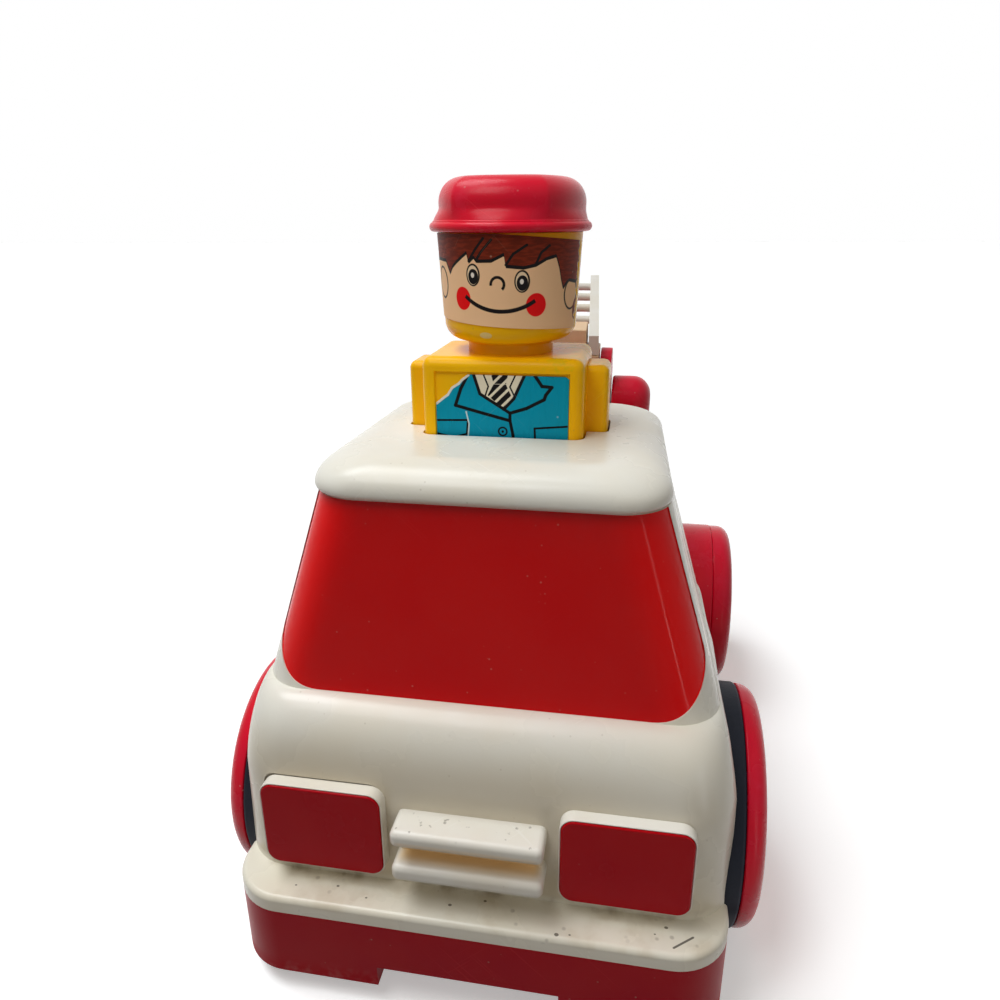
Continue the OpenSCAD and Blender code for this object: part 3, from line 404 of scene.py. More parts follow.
def ring(height, half, front, back, front_radius, back_radius):
    """A plan outline with round corners at a height."""
    corners = (
        (half - back_radius, back - back_radius, back_radius, 0),
        (back_radius - half, back - back_radius, back_radius, 90),
        (front_radius - half, front + front_radius, front_radius, 180),
        (half - front_radius, front + front_radius, front_radius, 270),
    )
    points = []
    for cx, cy, radius, start in corners:
        points += [Vector((x, y, height)) for x, y in bend(cx, cy, radius, start, start + 90, 12)]
    return points


def mix(low, high, share):
    """A value part of the way from low to high."""
    return low + (high - low) * share


def cab_form(name, inset):
    """The cab's outer form, or the same form drawn in by an inset."""
    s = cab_sizes()
    rings = []

    def level(height, width, front, back, radius, taper=1.0):
        half = width / 2 - inset
        points = ring(
            height, half, FRONT + front + inset, FRONT + back - inset,
            max(radius - inset, MM), max(s.rear_radius - inset, MM),
        )
        for point in points:
            share = (point.y - FRONT - front) / (back - front)
            point.x *= 1 - taper * share * s.taper / half
        rings.append(points)

    level(s.base_top - (2 * s.wall if inset else 0.0), s.low_width, s.face, s.back, s.nose_radius, 0.0)
    for t in quarter(18):
        c = 1 - math.cos(t)
        rise = math.sin(t)
        level(
            mix(s.belt_height, s.foot_height, rise) - inset * rise,
            mix(s.belt_width, s.foot_width, (c + rise) / 2), mix(s.face, s.foot_back, c), s.back,
            mix(s.nose_radius, s.glass_radius, c), min(1.0, 2 * rise),
        )
    for i in range(1, 9):
        u = i / 8
        level(
            mix(s.foot_height, s.head_height, u) - inset, mix(s.foot_width, s.head_width, u),
            mix(s.foot_back, s.head_back, u), s.back, mix(s.glass_radius, s.brow_radius, u),
        )
    out = 0.0 if inset else 1.0
    low = s.head_height + 0.3 * MM
    for t in quarter(6) if out else ():
        c = s.brow_lip * (1 - math.sin(t))
        level(
            low + s.brow_lip * (1 - math.cos(t)), s.head_width + 2 * (s.brow_side - c),
            s.head_back - s.brow + c, s.back, s.brow_radius,
        )
    low += out * s.brow_lip
    for t in quarter(18):
        c = s.roof_round * (1 - math.cos(t))
        level(
            mix(low, s.roof_height, math.sin(t)) - inset, s.head_width + 2 * (out * s.brow_side - c),
            s.head_back - out * s.brow + c, s.back - c, s.brow_radius,
        )
    return loft(name, rings)


def ledge_form():
    """The bumper ledge round the cab's foot."""
    s = cab_sizes()
    top = s.base_top + s.ledge_height
    levels = [(s.base_top, 0.0)]
    levels += [(top - s.ledge_lip * (1 - math.sin(t)), s.ledge_lip * (1 - math.cos(t))) for t in quarter(6)]
    rings = []
    for height, inset in levels:
        half = s.ledge_width / 2 - inset
        corner = s.nose_radius - inset
        rings.append(ring(height, half, FRONT + inset, FRONT + s.back - MM, corner, s.rear_radius))
    return loft("ledge", rings)


def window_block(grow):
    """A block through the windscreen's opening, drawn out by a little."""
    s = cab_sizes()
    low = s.foot_height + 0.05 * MM - grow

    def half(z):
        share = (z - s.foot_height) / (s.head_height - s.foot_height)
        return mix(s.foot_width / 2 - s.window_side, s.head_width / 2 - s.window_head, share) + grow

    lean = math.degrees(math.atan((half(0.08) - half(0.12)) / 0.04))
    reach = half(low + s.window_radius) - s.window_radius / math.cos(math.radians(lean))
    right = bend(reach, low + s.window_radius, s.window_radius, -90, lean, 14)
    right.append((half(s.head_height), s.head_height))
    left = [(-x, z) for x, z in reversed(right)]
    slope = (s.head_back - s.foot_back) / (s.head_height - s.foot_height)
    deep = s.foot_back + s.glass_radius + MM
    bm = block(
        right + left, lambda u, v: Vector((u, FRONT - MM + slope * (v - s.foot_height), v)),
        Vector((0.0, deep, 0.0)),
    )
    return solid("window_block", bm)


def tail_form():
    """The rear body's outer form with round upright corners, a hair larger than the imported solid."""
    f = figure_sizes()
    low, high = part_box("rear_body")
    hair = 0.03 * MM
    levels = [(low.z - MM, high.x, 0.0), (f.tail_knee, high.x, 0.0)]
    for t in quarter(9):
        inset = f.tail_round * (1 - math.cos(t))
        levels.append((high.z - f.tail_round * (1 - math.sin(t)), f.tail_top / 2 - inset, inset))
    rings = [
        ring(
            height + hair, half + hair, low.y + inset - hair, high.y - inset + hair,
            f.tail_corner, f.tail_corner,
        )
        for height, half, inset in levels
    ]
    return loft("tail_form", rings)


# Materials


def link(tree, source, target):
    """Join two sockets, or set the target where the source is a plain value."""
    if isinstance(source, bpy.types.NodeSocket):
        tree.links.new(source, target)
    else:
        target.default_value = source


def math_node(tree, operation, first, second=0.0, third=None, clamp=False):
    """A Math node's output."""
    made = tree.nodes.new("ShaderNodeMath")
    made.operation = operation
    made.use_clamp = clamp
    link(tree, first, made.inputs[0])
    link(tree, second, made.inputs[1])
    if third is not None:
        link(tree, third, made.inputs[2])
    return made.outputs[0]


def vector_node(tree, operation, first, second=(0.0, 0.0, 0.0), output="Vector"):
    """A Vector Math node's output."""
    made = tree.nodes.new("ShaderNodeVectorMath")
    made.operation = operation
    link(tree, first, made.inputs[0])
    if operation == "SCALE":
        link(tree, second, made.inputs["Scale"])
    elif operation not in ("LENGTH", "NORMALIZE"):
        link(tree, second, made.inputs[1])
    return made.outputs[output]


def fade(tree, value, start, end, low=0.0, high=1.0):
    """A smooth step of a value from start to end."""
    made = tree.nodes.new("ShaderNodeMapRange")
    made.interpolation_type = "SMOOTHSTEP"
    link(tree, value, made.inputs["Value"])
    link(tree, start, made.inputs["From Min"])
    link(tree, end, made.inputs["From Max"])
    made.inputs["To Min"].default_value = low
    made.inputs["To Max"].default_value = high
    return made.outputs["Result"]


def product(tree, first, *others):
    """Masks multiplied together."""
    for other in others:
        first = math_node(tree, "MULTIPLY", first, other)
    return first


def opaque(colour):
    """A colour socket as it is, or a plain colour with its alpha."""
    return colour if isinstance(colour, bpy.types.NodeSocket) else (*colour, 1.0)


def blend_colour(tree, share, first, second):
    """Two colours mixed by a mask."""
    made = tree.nodes.new("ShaderNodeMix")
    made.data_type = "RGBA"
    link(tree, share, made.inputs[0])
    link(tree, opaque(first), made.inputs[6])
    link(tree, opaque(second), made.inputs[7])
    return made.outputs[2]


def noise(tree, point, scale, detail, roughness=0.5):
    """A Noise Texture's value."""
    made = tree.nodes.new("ShaderNodeTexNoise")
    link(tree, point, made.inputs["Vector"])
    link(tree, scale, made.inputs["Scale"])
    made.inputs["Detail"].default_value = detail
    made.inputs["Roughness"].default_value = roughness
    return made.outputs[0]


def cloud(tree, point, scale, detail, start, end, roughness=0.5):
    """A mask of soft patches."""
    return fade(tree, noise(tree, point, scale, detail, roughness), start, end)


def grains(tree, point, scale, start, end):
    """A mask of small dots, one to a cell."""
    cells = tree.nodes.new("ShaderNodeTexVoronoi")
    link(tree, point, cells.inputs["Vector"])
    cells.inputs["Scale"].default_value = scale
    return fade(tree, cells.outputs["Distance"], start, end)


def dot(tree, first, second):
    """The dot product of two vectors."""
    return vector_node(tree, "DOT_PRODUCT", first, second, "Value")


def length(tree, vector):
    """The length of a vector."""
    return vector_node(tree, "LENGTH", vector, output="Value")


def new_group(name, inputs, outputs):
    """A shader node group with named sockets, and its two end nodes."""
    tree = bpy.data.node_groups.new(name, "ShaderNodeTree")
    for title, kind in inputs:
        tree.interface.new_socket(title, in_out="INPUT", socket_type="NodeSocket" + kind)
    for title, kind in outputs:
        tree.interface.new_socket(title, in_out="OUTPUT", socket_type="NodeSocket" + kind)
    return tree, tree.nodes.new("NodeGroupInput").outputs, tree.nodes.new("NodeGroupOutput").inputs


def place_group(tree, name, **values):
    """Place a group in a tree and set its inputs."""
    made = tree.nodes.new("ShaderNodeGroup")
    made.node_tree = bpy.data.node_groups[name]
    for title, value in values.items():
        link(tree, value, made.inputs[title])
    return made.outputs


def mark(tree, name, **values):
    """The mask of a placed mark."""
    return place_group(tree, name, **values)["Mask"]


def make_aged_moulding():
    """Patchy tone, dust specks, fine scratches and moulding grain of old plastic."""
    tree, given, out = new_group(
        "Aged moulding",
        [("Point", "Vector"), ("Specks", "Float"), ("Scratches", "Float")],
        [(title, "Float") for title in ("Tone", "Dust", "Scratch", "Grain")],
    )
    point = given["Point"]
    link(tree, cloud(tree, point, 45.0, 4.0, 0.35, 0.70), out["Tone"])
    dots = grains(tree, point, 420.0, 0.16, 0.05)
    here = cloud(tree, point, 150.0, 2.0, 0.56, 0.66)
    link(tree, product(tree, dots, here, given["Specks"]), out["Dust"])
    marks = 0.0
    for turn in ((0.0, 0.955, 0.785), (0.0, 0.90, 2.40)):
        mapped = tree.nodes.new("ShaderNodeMapping")
        mapped.vector_type = "TEXTURE"
        link(tree, point, mapped.inputs["Vector"])
        mapped.inputs["Rotation"].default_value = turn
        mapped.inputs["Scale"].default_value = (1 / 30.0, 1 / 30.0, 1 / 2200.0)
        marks = math_node(tree, "MAXIMUM", cloud(tree, mapped.outputs[0], 1.0, 1.0, 0.69, 0.74), marks)
    where = cloud(tree, point, 32.0, 2.0, 0.52, 0.66)
    link(tree, product(tree, marks, where, given["Scratches"]), out["Scratch"])
    link(tree, noise(tree, point, 1500.0, 2.0), out["Grain"])


LINE_EDGE = (0.62, 0.42)


def new_mark(name, vectors, numbers=()):
    """A group that gives a mask from a point, other vectors and numbers."""
    inputs = [(title, "Vector") for title in ("Point", *vectors)] + [(title, "Float") for title in numbers]
    return new_group(name, inputs, [("Mask", "Float")])


def make_marks():
    """Oval, stroke, arc and half-plane masks for the printed labels, in millimetres."""
    tree, given, out = new_mark("Oval mark", ("Centre", "Size"))
    off = vector_node(tree, "SUBTRACT", given["Point"], given["Centre"])
    far = length(tree, vector_node(tree, "DIVIDE", off, given["Size"]))
    link(tree, fade(tree, far, 1.04, 0.96), out["Mask"])

    tree, given, out = new_mark("Stroke mark", ("Start", "End"), ("Width",))
    off = vector_node(tree, "SUBTRACT", given["Point"], given["Start"])
    run = vector_node(tree, "SUBTRACT", given["End"], given["Start"])
    share = math_node(tree, "DIVIDE", dot(tree, off, run), dot(tree, run, run), clamp=True)
    near = vector_node(tree, "SUBTRACT", off, vector_node(tree, "SCALE", run, share))
    far = math_node(tree, "DIVIDE", length(tree, near), given["Width"])
    link(tree, fade(tree, far, *LINE_EDGE), out["Mask"])

    tree, given, out = new_mark("Arc mark", ("Centre", "Toward"), ("Radius", "Width", "Reach"))
    off = vector_node(tree, "SUBTRACT", given["Point"], given["Centre"])
    gone = math_node(tree, "SUBTRACT", length(tree, off), given["Radius"])
    far = math_node(tree, "DIVIDE", math_node(tree, "ABSOLUTE", gone), given["Width"])
    facing = dot(tree, vector_node(tree, "NORMALIZE", off), given["Toward"])
    inside = math_node(tree, "GREATER_THAN", facing, given["Reach"])
    link(tree, product(tree, fade(tree, far, *LINE_EDGE), inside), out["Mask"])

    tree, given, out = new_mark("Side mark", ("Through", "Inward"))
    off = vector_node(tree, "SUBTRACT", given["Point"], given["Through"])
    link(tree, fade(tree, dot(tree, off, given["Inward"]), -0.05, 0.05), out["Mask"])


class Finish:
    """A Principled material that is painted layer by layer."""

    def __init__(self, name, colour, roughness, shine):
        self.material = bpy.data.materials.new(name)
        self.material.use_nodes = True
        self.tree = self.material.node_tree
        self.shader = self.tree.nodes["Principled BSDF"]
        self.shader.inputs["Specular IOR Level"].default_value = shine
        self.point = self.tree.nodes.new("ShaderNodeTexCoord").outputs["Object"]
        self.colour = tuple(colour)
        self.rough = roughness
        self.height = None

    def parts(self):
        """X, Y and Z of the point, in metres."""
        split = self.tree.nodes.new("ShaderNodeSeparateXYZ")
        link(self.tree, self.point, split.inputs[0])
        return split.outputs

    def along(self, axis, start, end, low=0.0, high=1.0):
        """A smooth step along an axis."""
        return fade(self.tree, self.parts()[axis], start, end, low, high)

    def between(self, axis, low, high, soft):
        """A soft mask between two places along an axis."""
        start = self.along(axis, low - soft, low + soft)
        return product(self.tree, start, self.along(axis, high + soft, high - soft))

    def cloud(self, scale, detail, start, end, roughness=0.5):
        """A mask of soft patches."""
        return cloud(self.tree, self.point, scale, detail, start, end, roughness)

    def age(self, specks, scratches):
        """The masks of old plastic."""
        return place_group(self.tree, "Aged moulding", Point=self.point, Specks=specks, Scratches=scratches)

    def paint(self, colour, amount, *masks):
        """Lay an amount of a colour where all the masks are."""
        self.colour = blend_colour(self.tree, product(self.tree, *masks, amount), self.colour, colour)

    def roughen(self, mask, amount):
        """Make the surface duller, or shinier, where a mask is."""
        self.rough = math_node(self.tree, "MULTIPLY_ADD", mask, amount, self.rough)

    def raise_by(self, mask, amount):
        """Raise the surface where a mask is."""
        part = product(self.tree, mask, amount)
        self.height = part if self.height is None else math_node(self.tree, "ADD", self.height, part)

    def done(self, bump=0.15):
        """Join the layers to the shader."""
        tree = self.tree
        link(tree, opaque(self.colour), self.shader.inputs["Base Color"])
        link(tree, self.rough, self.shader.inputs["Roughness"])
        if self.height is not None:
            relief = tree.nodes.new("ShaderNodeBump")
            relief.inputs["Strength"].default_value = bump
            relief.inputs["Distance"].default_value = 0.4 * MM
            link(tree, self.height, relief.inputs["Height"])
            link(tree, relief.outputs["Normal"], self.shader.inputs["Normal"])
        return self.material


def moulding(name, colour, aged, tone, roughness, specks, dust, scratches, shine=0.14):
    """A glossy moulding that has aged, ready for more layers."""
    made = Finish(name, colour, roughness, shine)
    age = made.age(specks, scratches)
    made.paint(aged, tone, age["Tone"])
    made.paint(dust, 1.0, age["Dust"])
    made.paint([min(1.0, 1.5 * c + 0.06) for c in colour], 0.5, age["Scratch"])
    made.roughen(age["Tone"], 0.08)
    made.roughen(age["Scratch"], 0.25)
    made.raise_by(age["Grain"], 0.25)
    made.raise_by(age["Scratch"], -0.5)
    return made


LEDGE_TOP = 30.5
LEDGE_SCRATCH = ((49.4, -107.6, LEDGE_TOP), (54.0, -104.0, LEDGE_TOP))
LEDGE_SPECKS = (
    (22.1, -108.6, 0.42), (25.2, -108.2, 0.22), (47.8, -102.3, 0.36), (-34.3, -103.7, 0.30),
    (-26.0, -106.0, 0.24), (45.1, -104.6, 0.20), (-4.8, -104.6, 0.36), (3.6, -102.0, 0.30),
    (-45.0, -105.2, 0.22),
)


def ledge_dirt(made):
    """Brown dirt specks and a smear on the bumper ledge, and darker patches in the corner behind it."""
    tree = made.tree
    top = made.between("Z", 0.0288, 0.0318, 0.0006)
    front = made.along("Y", FRONT + 0.0125, FRONT + 0.010)
    grit = grains(tree, made.point, 260.0, 0.20, 0.08)
    some = made.cloud(70.0, 2.0, 0.50, 0.62)
    made.paint((0.09, 0.05, 0.025), 0.35, grit, some, top, front)
    film = made.cloud(120.0, 4.0, 0.45, 0.75)
    made.paint((0.50, 0.40, 0.26), 0.40, film, top, front)
    point = vector_node(tree, "SCALE", made.point, PER_METRE)
    start, end = LEDGE_SCRATCH
    scratch = mark(tree, "Stroke mark", Point=point, Start=start, End=end, Width=0.5)
    made.paint((0.06, 0.05, 0.04), 0.85, scratch)
    for x, y, radius in LEDGE_SPECKS:
        reach = (1.3 * radius, radius, 2.0)
        speck = mark(tree, "Oval mark", Point=point, Centre=(x, y, LEDGE_TOP), Size=reach)
        made.paint((0.07, 0.05, 0.03), 0.8, speck)
    # Darker patches in the corner where the ledge meets the face.
    corner = made.between("Z", 0.0295, 0.0325, 0.001)
    behind = made.along("Y", FRONT + 0.0085, FRONT + 0.0107)
    made.paint((0.22, 0.16, 0.09), 0.55, corner, behind, film)


def cream_finish(name):
    """Cream cab plastic, yellowed in patches, darker and yellower towards the bottom, with painted shade on
    its face and dirt on the bumper ledge.
    """
    c = colours()
    made = moulding(name, c.cream, c.cream_aged, 0.28, 0.24, 0.30, (0.30, 0.24, 0.15), 0.10, 0.35)
    # Darker and yellower towards the bottom.
    made.paint(c.cream_aged, 0.30, made.along("Z", 0.062, 0.030))
    # Painted shade: the face between the ledge and the hood is darkened and browned, most in the middle.
    above_ledge = made.along("Z", 0.0312, 0.0330)
    ahead = made.along("Y", FRONT + 0.020, FRONT + 0.012)
    face_shade_band = made.along("Z", 0.077, 0.062)
    middle = made.along("X", 0.055, 0.010, 0.55, 1.0)
    made.paint((0.56, 0.46, 0.30), 0.50, above_ledge, ahead, face_shade_band, middle)
    ledge_dirt(made)
    return made.done()


def window_finish(name):
    """Deep red glossy window moulding, with painted light brightening it towards its sides, and a little
    dust.
    """
    c = colours()
    s = cab_sizes()
    made = moulding(name, c.window, (0.60, 0.0, 0.004), 0.3, 0.07, 0.30, (0.70, 0.30, 0.25), 0.10, 0.09)
    tree = made.tree
    split = made.parts()
    lean = (s.head_width - s.foot_width) / 2 / (s.head_height - s.foot_height)
    half = math_node(tree, "MULTIPLY_ADD", split["Z"], lean, s.foot_width / 2 - lean * s.foot_height)
    gap = math_node(tree, "SUBTRACT", half, math_node(tree, "ABSOLUTE", split["X"]))
    # Painted light: the red grows brighter towards the sides, standing in for light through the plastic.
    made.paint(c.window_side_light, 0.9, fade(tree, gap, 0.018, 0.001))
    return made.done(0.05)


def lamp_finish(name):
    """Dark red headlight plastic with a little dust."""
    colour = colours().lamp
    made = moulding(name, colour, (0.40, 0.001, 0.010), 0.5, 0.20, 0.3, (0.45, 0.20, 0.16), 0.3, 0.07)
    return made.done(0.1)


def trim_finish(name):
    """Off-white trim: a stain between the grille's lips lit with painted warm light, painted warm shade
    under the upper lip, and spots on top of the lips.
    """
    colour = colours().trim
    made = moulding(name, colour, (0.66, 0.56, 0.38), 0.30, 0.28, 0.25, (0.28, 0.20, 0.10), 0.3, 0.3)
    low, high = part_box("grille")
    top = high.z - figure_sizes().grille_top
    inside = made.between("X", low.x + MM, high.x - MM, 1.5 * MM)
    behind = made.along("Y", FRONT + 3.0 * MM, FRONT + 7.0 * MM)
    gap = made.between("Z", low.z + 3.0 * MM, top - 2.4 * MM, 1.2 * MM)
    near = math_node(made.tree, "LESS_THAN", made.parts()["Y"], -0.09)
    # Partly a real yellow stain, partly painted warm light that lightens the recess between the lips.
    made.paint((1.0, 0.74, 0.40), 0.90, inside, behind, gap, near)
    # Painted warm shade, as from reflected light, under the upper lip.
    under = made.between("Z", top - 4.8 * MM, top - 2.6 * MM, 0.5 * MM)
    made.paint((0.80, 0.60, 0.36), 0.55, under, near, inside)
    spots = made.cloud(420.0, 3.0, 0.64, 0.72)
    crown = made.between("Z", top - 0.6 * MM, top + MM, 0.3 * MM)
    made.paint((0.16, 0.13, 0.10), 0.6, spots, crown, near)
    return made.done()


def base_finish(name):
    """Dark red base plastic, scuffed along its lower edge."""
    colour = colours().base
    made = moulding(name, colour, (0.34, 0.001, 0.014), 0.5, 0.30, 0.6, (0.42, 0.20, 0.16), 0.4, 0.06)
    low = made.along("Z", 0.0125, 0.0062)
    made.paint((0.46, 0.09, 0.09), 0.5, low, made.cloud(260.0, 4.0, 0.50, 0.68))
    made.roughen(low, 0.15)
    return made.done()


def red_finish(name):
    """Bright red plastic with scuffs and a hazy, rubbed bloom that is partly a painted pink sheen."""
    colour = colours().red
    made = moulding(name, colour, (0.62, 0.004, 0.045), 0.45, 0.22, 0.5, (0.66, 0.30, 0.28), 0.25, 0.16)
    # Partly a real rubbed haze, partly a painted pink sheen: lighter, pinker patches.
    bloom_and_sheen = made.cloud(90.0, 5.0, 0.52, 0.78, 0.65)
    made.paint((0.80, 0.07, 0.13), 0.22, bloom_and_sheen)
    made.roughen(bloom_and_sheen, 0.14)
    return made.done()


def yellow_finish(name):
    """Warm yellow plastic, worn greenish on the shoulders and chipped under the chin."""
    colour = colours().yellow
    made = moulding(name, colour, (0.95, 0.42, 0.002), 0.5, 0.20, 0.30, (0.50, 0.32, 0.06), 0.25, 0.10)
    shoulder = figure_sizes().shoulder
    crest = made.between("Z", shoulder - 0.0032, shoulder + 0.0006, 0.0008)
    worn = made.cloud(330.0, 4.0, 0.46, 0.66)
    made.paint((0.62, 0.52, 0.01), 0.6, crest, worn, made.along("X", 0.004, 0.018))
    point = vector_node(made.tree, "SCALE", made.point, PER_METRE)
    chip = mark(made.tree, "Oval mark", Point=point, Centre=(-3.6, -55.5, 163.0), Size=(1.6, 3.0, 0.8))
    made.paint((0.86, 0.66, 0.30), 0.8, chip)
    return made.done()


def rubber_finish(name):
    """Matt black rubber with a dusty bloom."""
    made = Finish(name, colours().rubber, 0.55, 0.15)
    dust = made.cloud(160.0, 4.0, 0.50, 0.80)
    made.paint((0.030, 0.032, 0.042), 0.6, dust)
    made.roughen(dust, 0.2)
    made.raise_by(noise(made.tree, made.point, 900.0, 3.0), 0.6)
    return made.done(0.3)


def steel_finish(name):
    """Plain steel with fine drawn lines and dull patches."""
    made = Finish(name, colours().steel, 0.30, 0.5)
    made.shader.inputs["Metallic"].default_value = 1.0
    dull = made.cloud(140.0, 3.0, 0.45, 0.75)
    made.paint((0.30, 0.28, 0.26), 0.6, dull)
    made.roughen(dull, 0.2)
    stretched = vector_node(made.tree, "MULTIPLY", made.point, (40.0, 2600.0, 2600.0))
    made.raise_by(noise(made.tree, stretched, 1.0, 2.0), 0.5)
    return made.done(0.1)


def nylon_finish(name):
    """Natural nylon of the gears, with a trace of grease."""
    colour = colours().nylon
    return moulding(name, colour, (0.60, 0.54, 0.42), 0.4, 0.42, 0.2, (0.20, 0.16, 0.10), 0.3).done()


def peach_shade_finish(name):
    """White plastic of the ladder base, tinted peach all over as painted warm shade from light bounced off
    the driver, and aged.
    """
    colour = colours().peach
    return moulding(name, colour, (0.82, 0.66, 0.46), 0.55, 0.30, 0.4, (0.36, 0.22, 0.10), 0.5, 0.25).done()


class Print(Finish):
    """A printed label, drawn mark by mark in millimetres."""

    def set_page(self, across, up):
        """Join the two places on the page into a point."""
        page = self.tree.nodes.new("ShaderNodeCombineXYZ")
        link(self.tree, across, page.inputs[0])
        link(self.tree, up, page.inputs[1])
        self.page = page.outputs[0]

    def mark(self, kind, **values):
        """The mask of a mark on the page, whose pairs of numbers are places on it."""
        for title, value in values.items():
            if isinstance(value, tuple):
                values[title] = (*value, 0.0)
        return mark(self.tree, kind + " mark", Point=self.page, **values)

    def oval(self, centre, half, colour):
        """A filled oval."""
        oval = mark(self.tree, "Oval mark", Point=self.page, Centre=(*centre, 0.0), Size=(*half, 1.0))
        self.paint(colour, 1.0, oval)

    def stroke(self, points, width, colour):
        """A line through points."""
        for start, end in zip(points, points[1:]):
            self.paint(colour, 1.0, self.mark("Stroke", Start=start, End=end, Width=width))

    def arc(self, centre, radius, toward, half_angle, width, colour):
        """Part of a circle, centred on a direction."""
        reach = math.cos(math.radians(half_angle))
        arc = self.mark("Arc", Centre=centre, Toward=toward, Radius=radius, Width=width, Reach=reach)
        self.paint(colour, 1.0, arc)

    def patch(self, corners):
        """The mask of a convex patch whose corners go anticlockwise."""
        sides = []
        for (x0, y0), (x1, y1) in zip(corners, corners[1:] + corners[:1]):
            inward = Vector((y0 - y1, x1 - x0)).normalized()
            sides.append(self.mark("Side", Through=(x0, y0), Inward=tuple(inward)))
        return product(self.tree, *sides)


LABEL_SHINE = 0.09
FACE_MIDDLE = 176.0
JACKET_MIDDLE = 138.0
LABEL_HALF = math.radians(78)
FRINGE_WIDE = 52.0
FRINGE_TALL = 16.0
FRINGE_LOW = -5.0
FRINGE = (
    (-26.0, 4.0), (-22.0, 5.2), (-16.5, 4.9), (-14.7, 1.9), (-13.5, 3.5), (-11.6, 4.8), (-8.3, 6.9),
    (-7.8, 4.7), (-6.3, 5.9), (-5.6, 5.0), (-1.7, 5.1), (1.4, 6.6), (1.8, 3.9), (6.1, 3.5), (9.2, 4.1),
    (12.0, 5.5), (14.7, 6.1), (15.8, 3.6), (16.7, 0.6), (17.6, -1.6), (18.6, -0.5), (19.9, 0.2),
    (23.6, -0.4), (26.0, 3.0),
)


def face_finish(name):
    """A plain toy face: brown fringe, oval eyes, small nose, round cheeks and a smile."""
    c = colours()
    made = Print(name, c.skin, 0.42, LABEL_SHINE)
    tree = made.tree
    split = made.parts()
    ahead = math_node(tree, "SUBTRACT", driver_axis(), split["Y"])
    turn = math_node(tree, "ARCTAN2", split["X"], ahead)
    across = product(tree, turn, figure_sizes().head_radius * PER_METRE)
    up = math_node(tree, "MULTIPLY_ADD", split["Z"], PER_METRE, -FACE_MIDDLE)
    made.set_page(across, up)
    age = made.age(0.4, 0.25)
    made.paint((0.90, 0.52, 0.26), 0.30, age["Tone"])

    for centre, wide, tall in (((21.2, -3.4), 2.7, 3.5), ((-19.2, -0.8), 2.5, 3.5)):
        made.oval(centre, (wide + 0.5, tall + 0.5), c.ink)
        made.oval(centre, (wide, tall), c.skin)
    made.oval((24.2, -7.4), (1.7, 2.7), c.hair)
    for centre, half in (((-10.2, -4.2), (2.5, 2.8)), ((9.5, -5.5), (2.7, 2.8))):
        made.oval(centre, half, c.cheek)
    for x, y in ((-6.7, 1.5), (5.8, 0.1)):
        made.oval((x, y), (1.95, 2.65), c.ink)
        made.oval((x - 0.05, y - 0.05), (1.55, 2.25), (0.92, 0.70, 0.46))
        made.oval((x + 0.05, y - 0.40), (1.42, 1.80), c.ink)
        made.oval((x - 0.1, y - 0.05), (0.48, 0.62), (0.92, 0.84, 0.74))
    made.arc((-0.3, -0.6), 1.65, (0.30, 0.95), 118, 0.66, c.ink)
    made.arc((0.6, 8.9), 15.9, (-0.049, -0.999), 35.5, 0.95, c.ink)

    fringe = tree.nodes.new("ShaderNodeFloatCurve")
    link(tree, math_node(tree, "MULTIPLY_ADD", across, 1 / FRINGE_WIDE, 0.5), fringe.inputs["Value"])
    line = fringe.mapping.curves[0]
    while len(line.points) < len(FRINGE):
        line.points.new(0.5, 0.5)
    for knot, (u, v) in zip(line.points, FRINGE):
        knot.location = (u / FRINGE_WIDE + 0.5, (v - FRINGE_LOW) / FRINGE_TALL)
        knot.handle_type = "VECTOR"
    fringe.mapping.update()
    edge = math_node(tree, "MULTIPLY_ADD", fringe.outputs[0], FRINGE_TALL, FRINGE_LOW)
    above = math_node(tree, "SUBTRACT", up, edge)
    made.paint(c.ink, 1.0, fade(tree, above, -0.78, -0.64))
    combed = vector_node(tree, "MULTIPLY", made.page, (0.35, 1.6, 1.0))
    strands = cloud(tree, combed, 1.0, 3.0, 0.40, 0.65)
    tone = blend_colour(tree, strands, c.hair, [min(1.0, 1.7 * v) for v in c.hair])
    made.paint(tone, 1.0, fade(tree, above, 0.05, 0.17))
    for points in (
        ((-3.6, 9.9), (-5.6, 7.6), (-7.8, 4.7)), ((-1.6, 9.6), (-4.2, 6.9), (-5.6, 5.0)),
        ((6.8, 8.4), (3.6, 6.4), (1.8, 3.9)), ((12.6, 8.2), (10.4, 6.6), (9.2, 4.1)),
    ):
        made.stroke(points, 0.58, c.ink)

    ragged = noise(tree, made.page, 0.5, 2.0)
    ends = math_node(tree, "MULTIPLY_ADD", ragged, 3.0, across)
    made.paint((0.86, 0.80, 0.66), 1.0, fade(tree, ends, 25.4, 25.7))
    made.paint(c.yellow, 1.0, fade(tree, ends, 25.7, 25.9))
    made.paint((0.90, 0.76, 0.56), 0.4, age["Scratch"])
    made.paint((0.88, 0.76, 0.58), 0.5, age["Dust"])
    made.roughen(age["Tone"], 0.1)
    made.raise_by(noise(tree, made.point, 500.0, 3.0), 0.4)
    return made.done(0.12)


TEAR = (
    (0.0, 0.815), (0.05, 0.85), (0.085, 0.872), (0.12, 0.918), (0.17, 0.945), (0.20, 0.972), (0.245, 1.0),
)


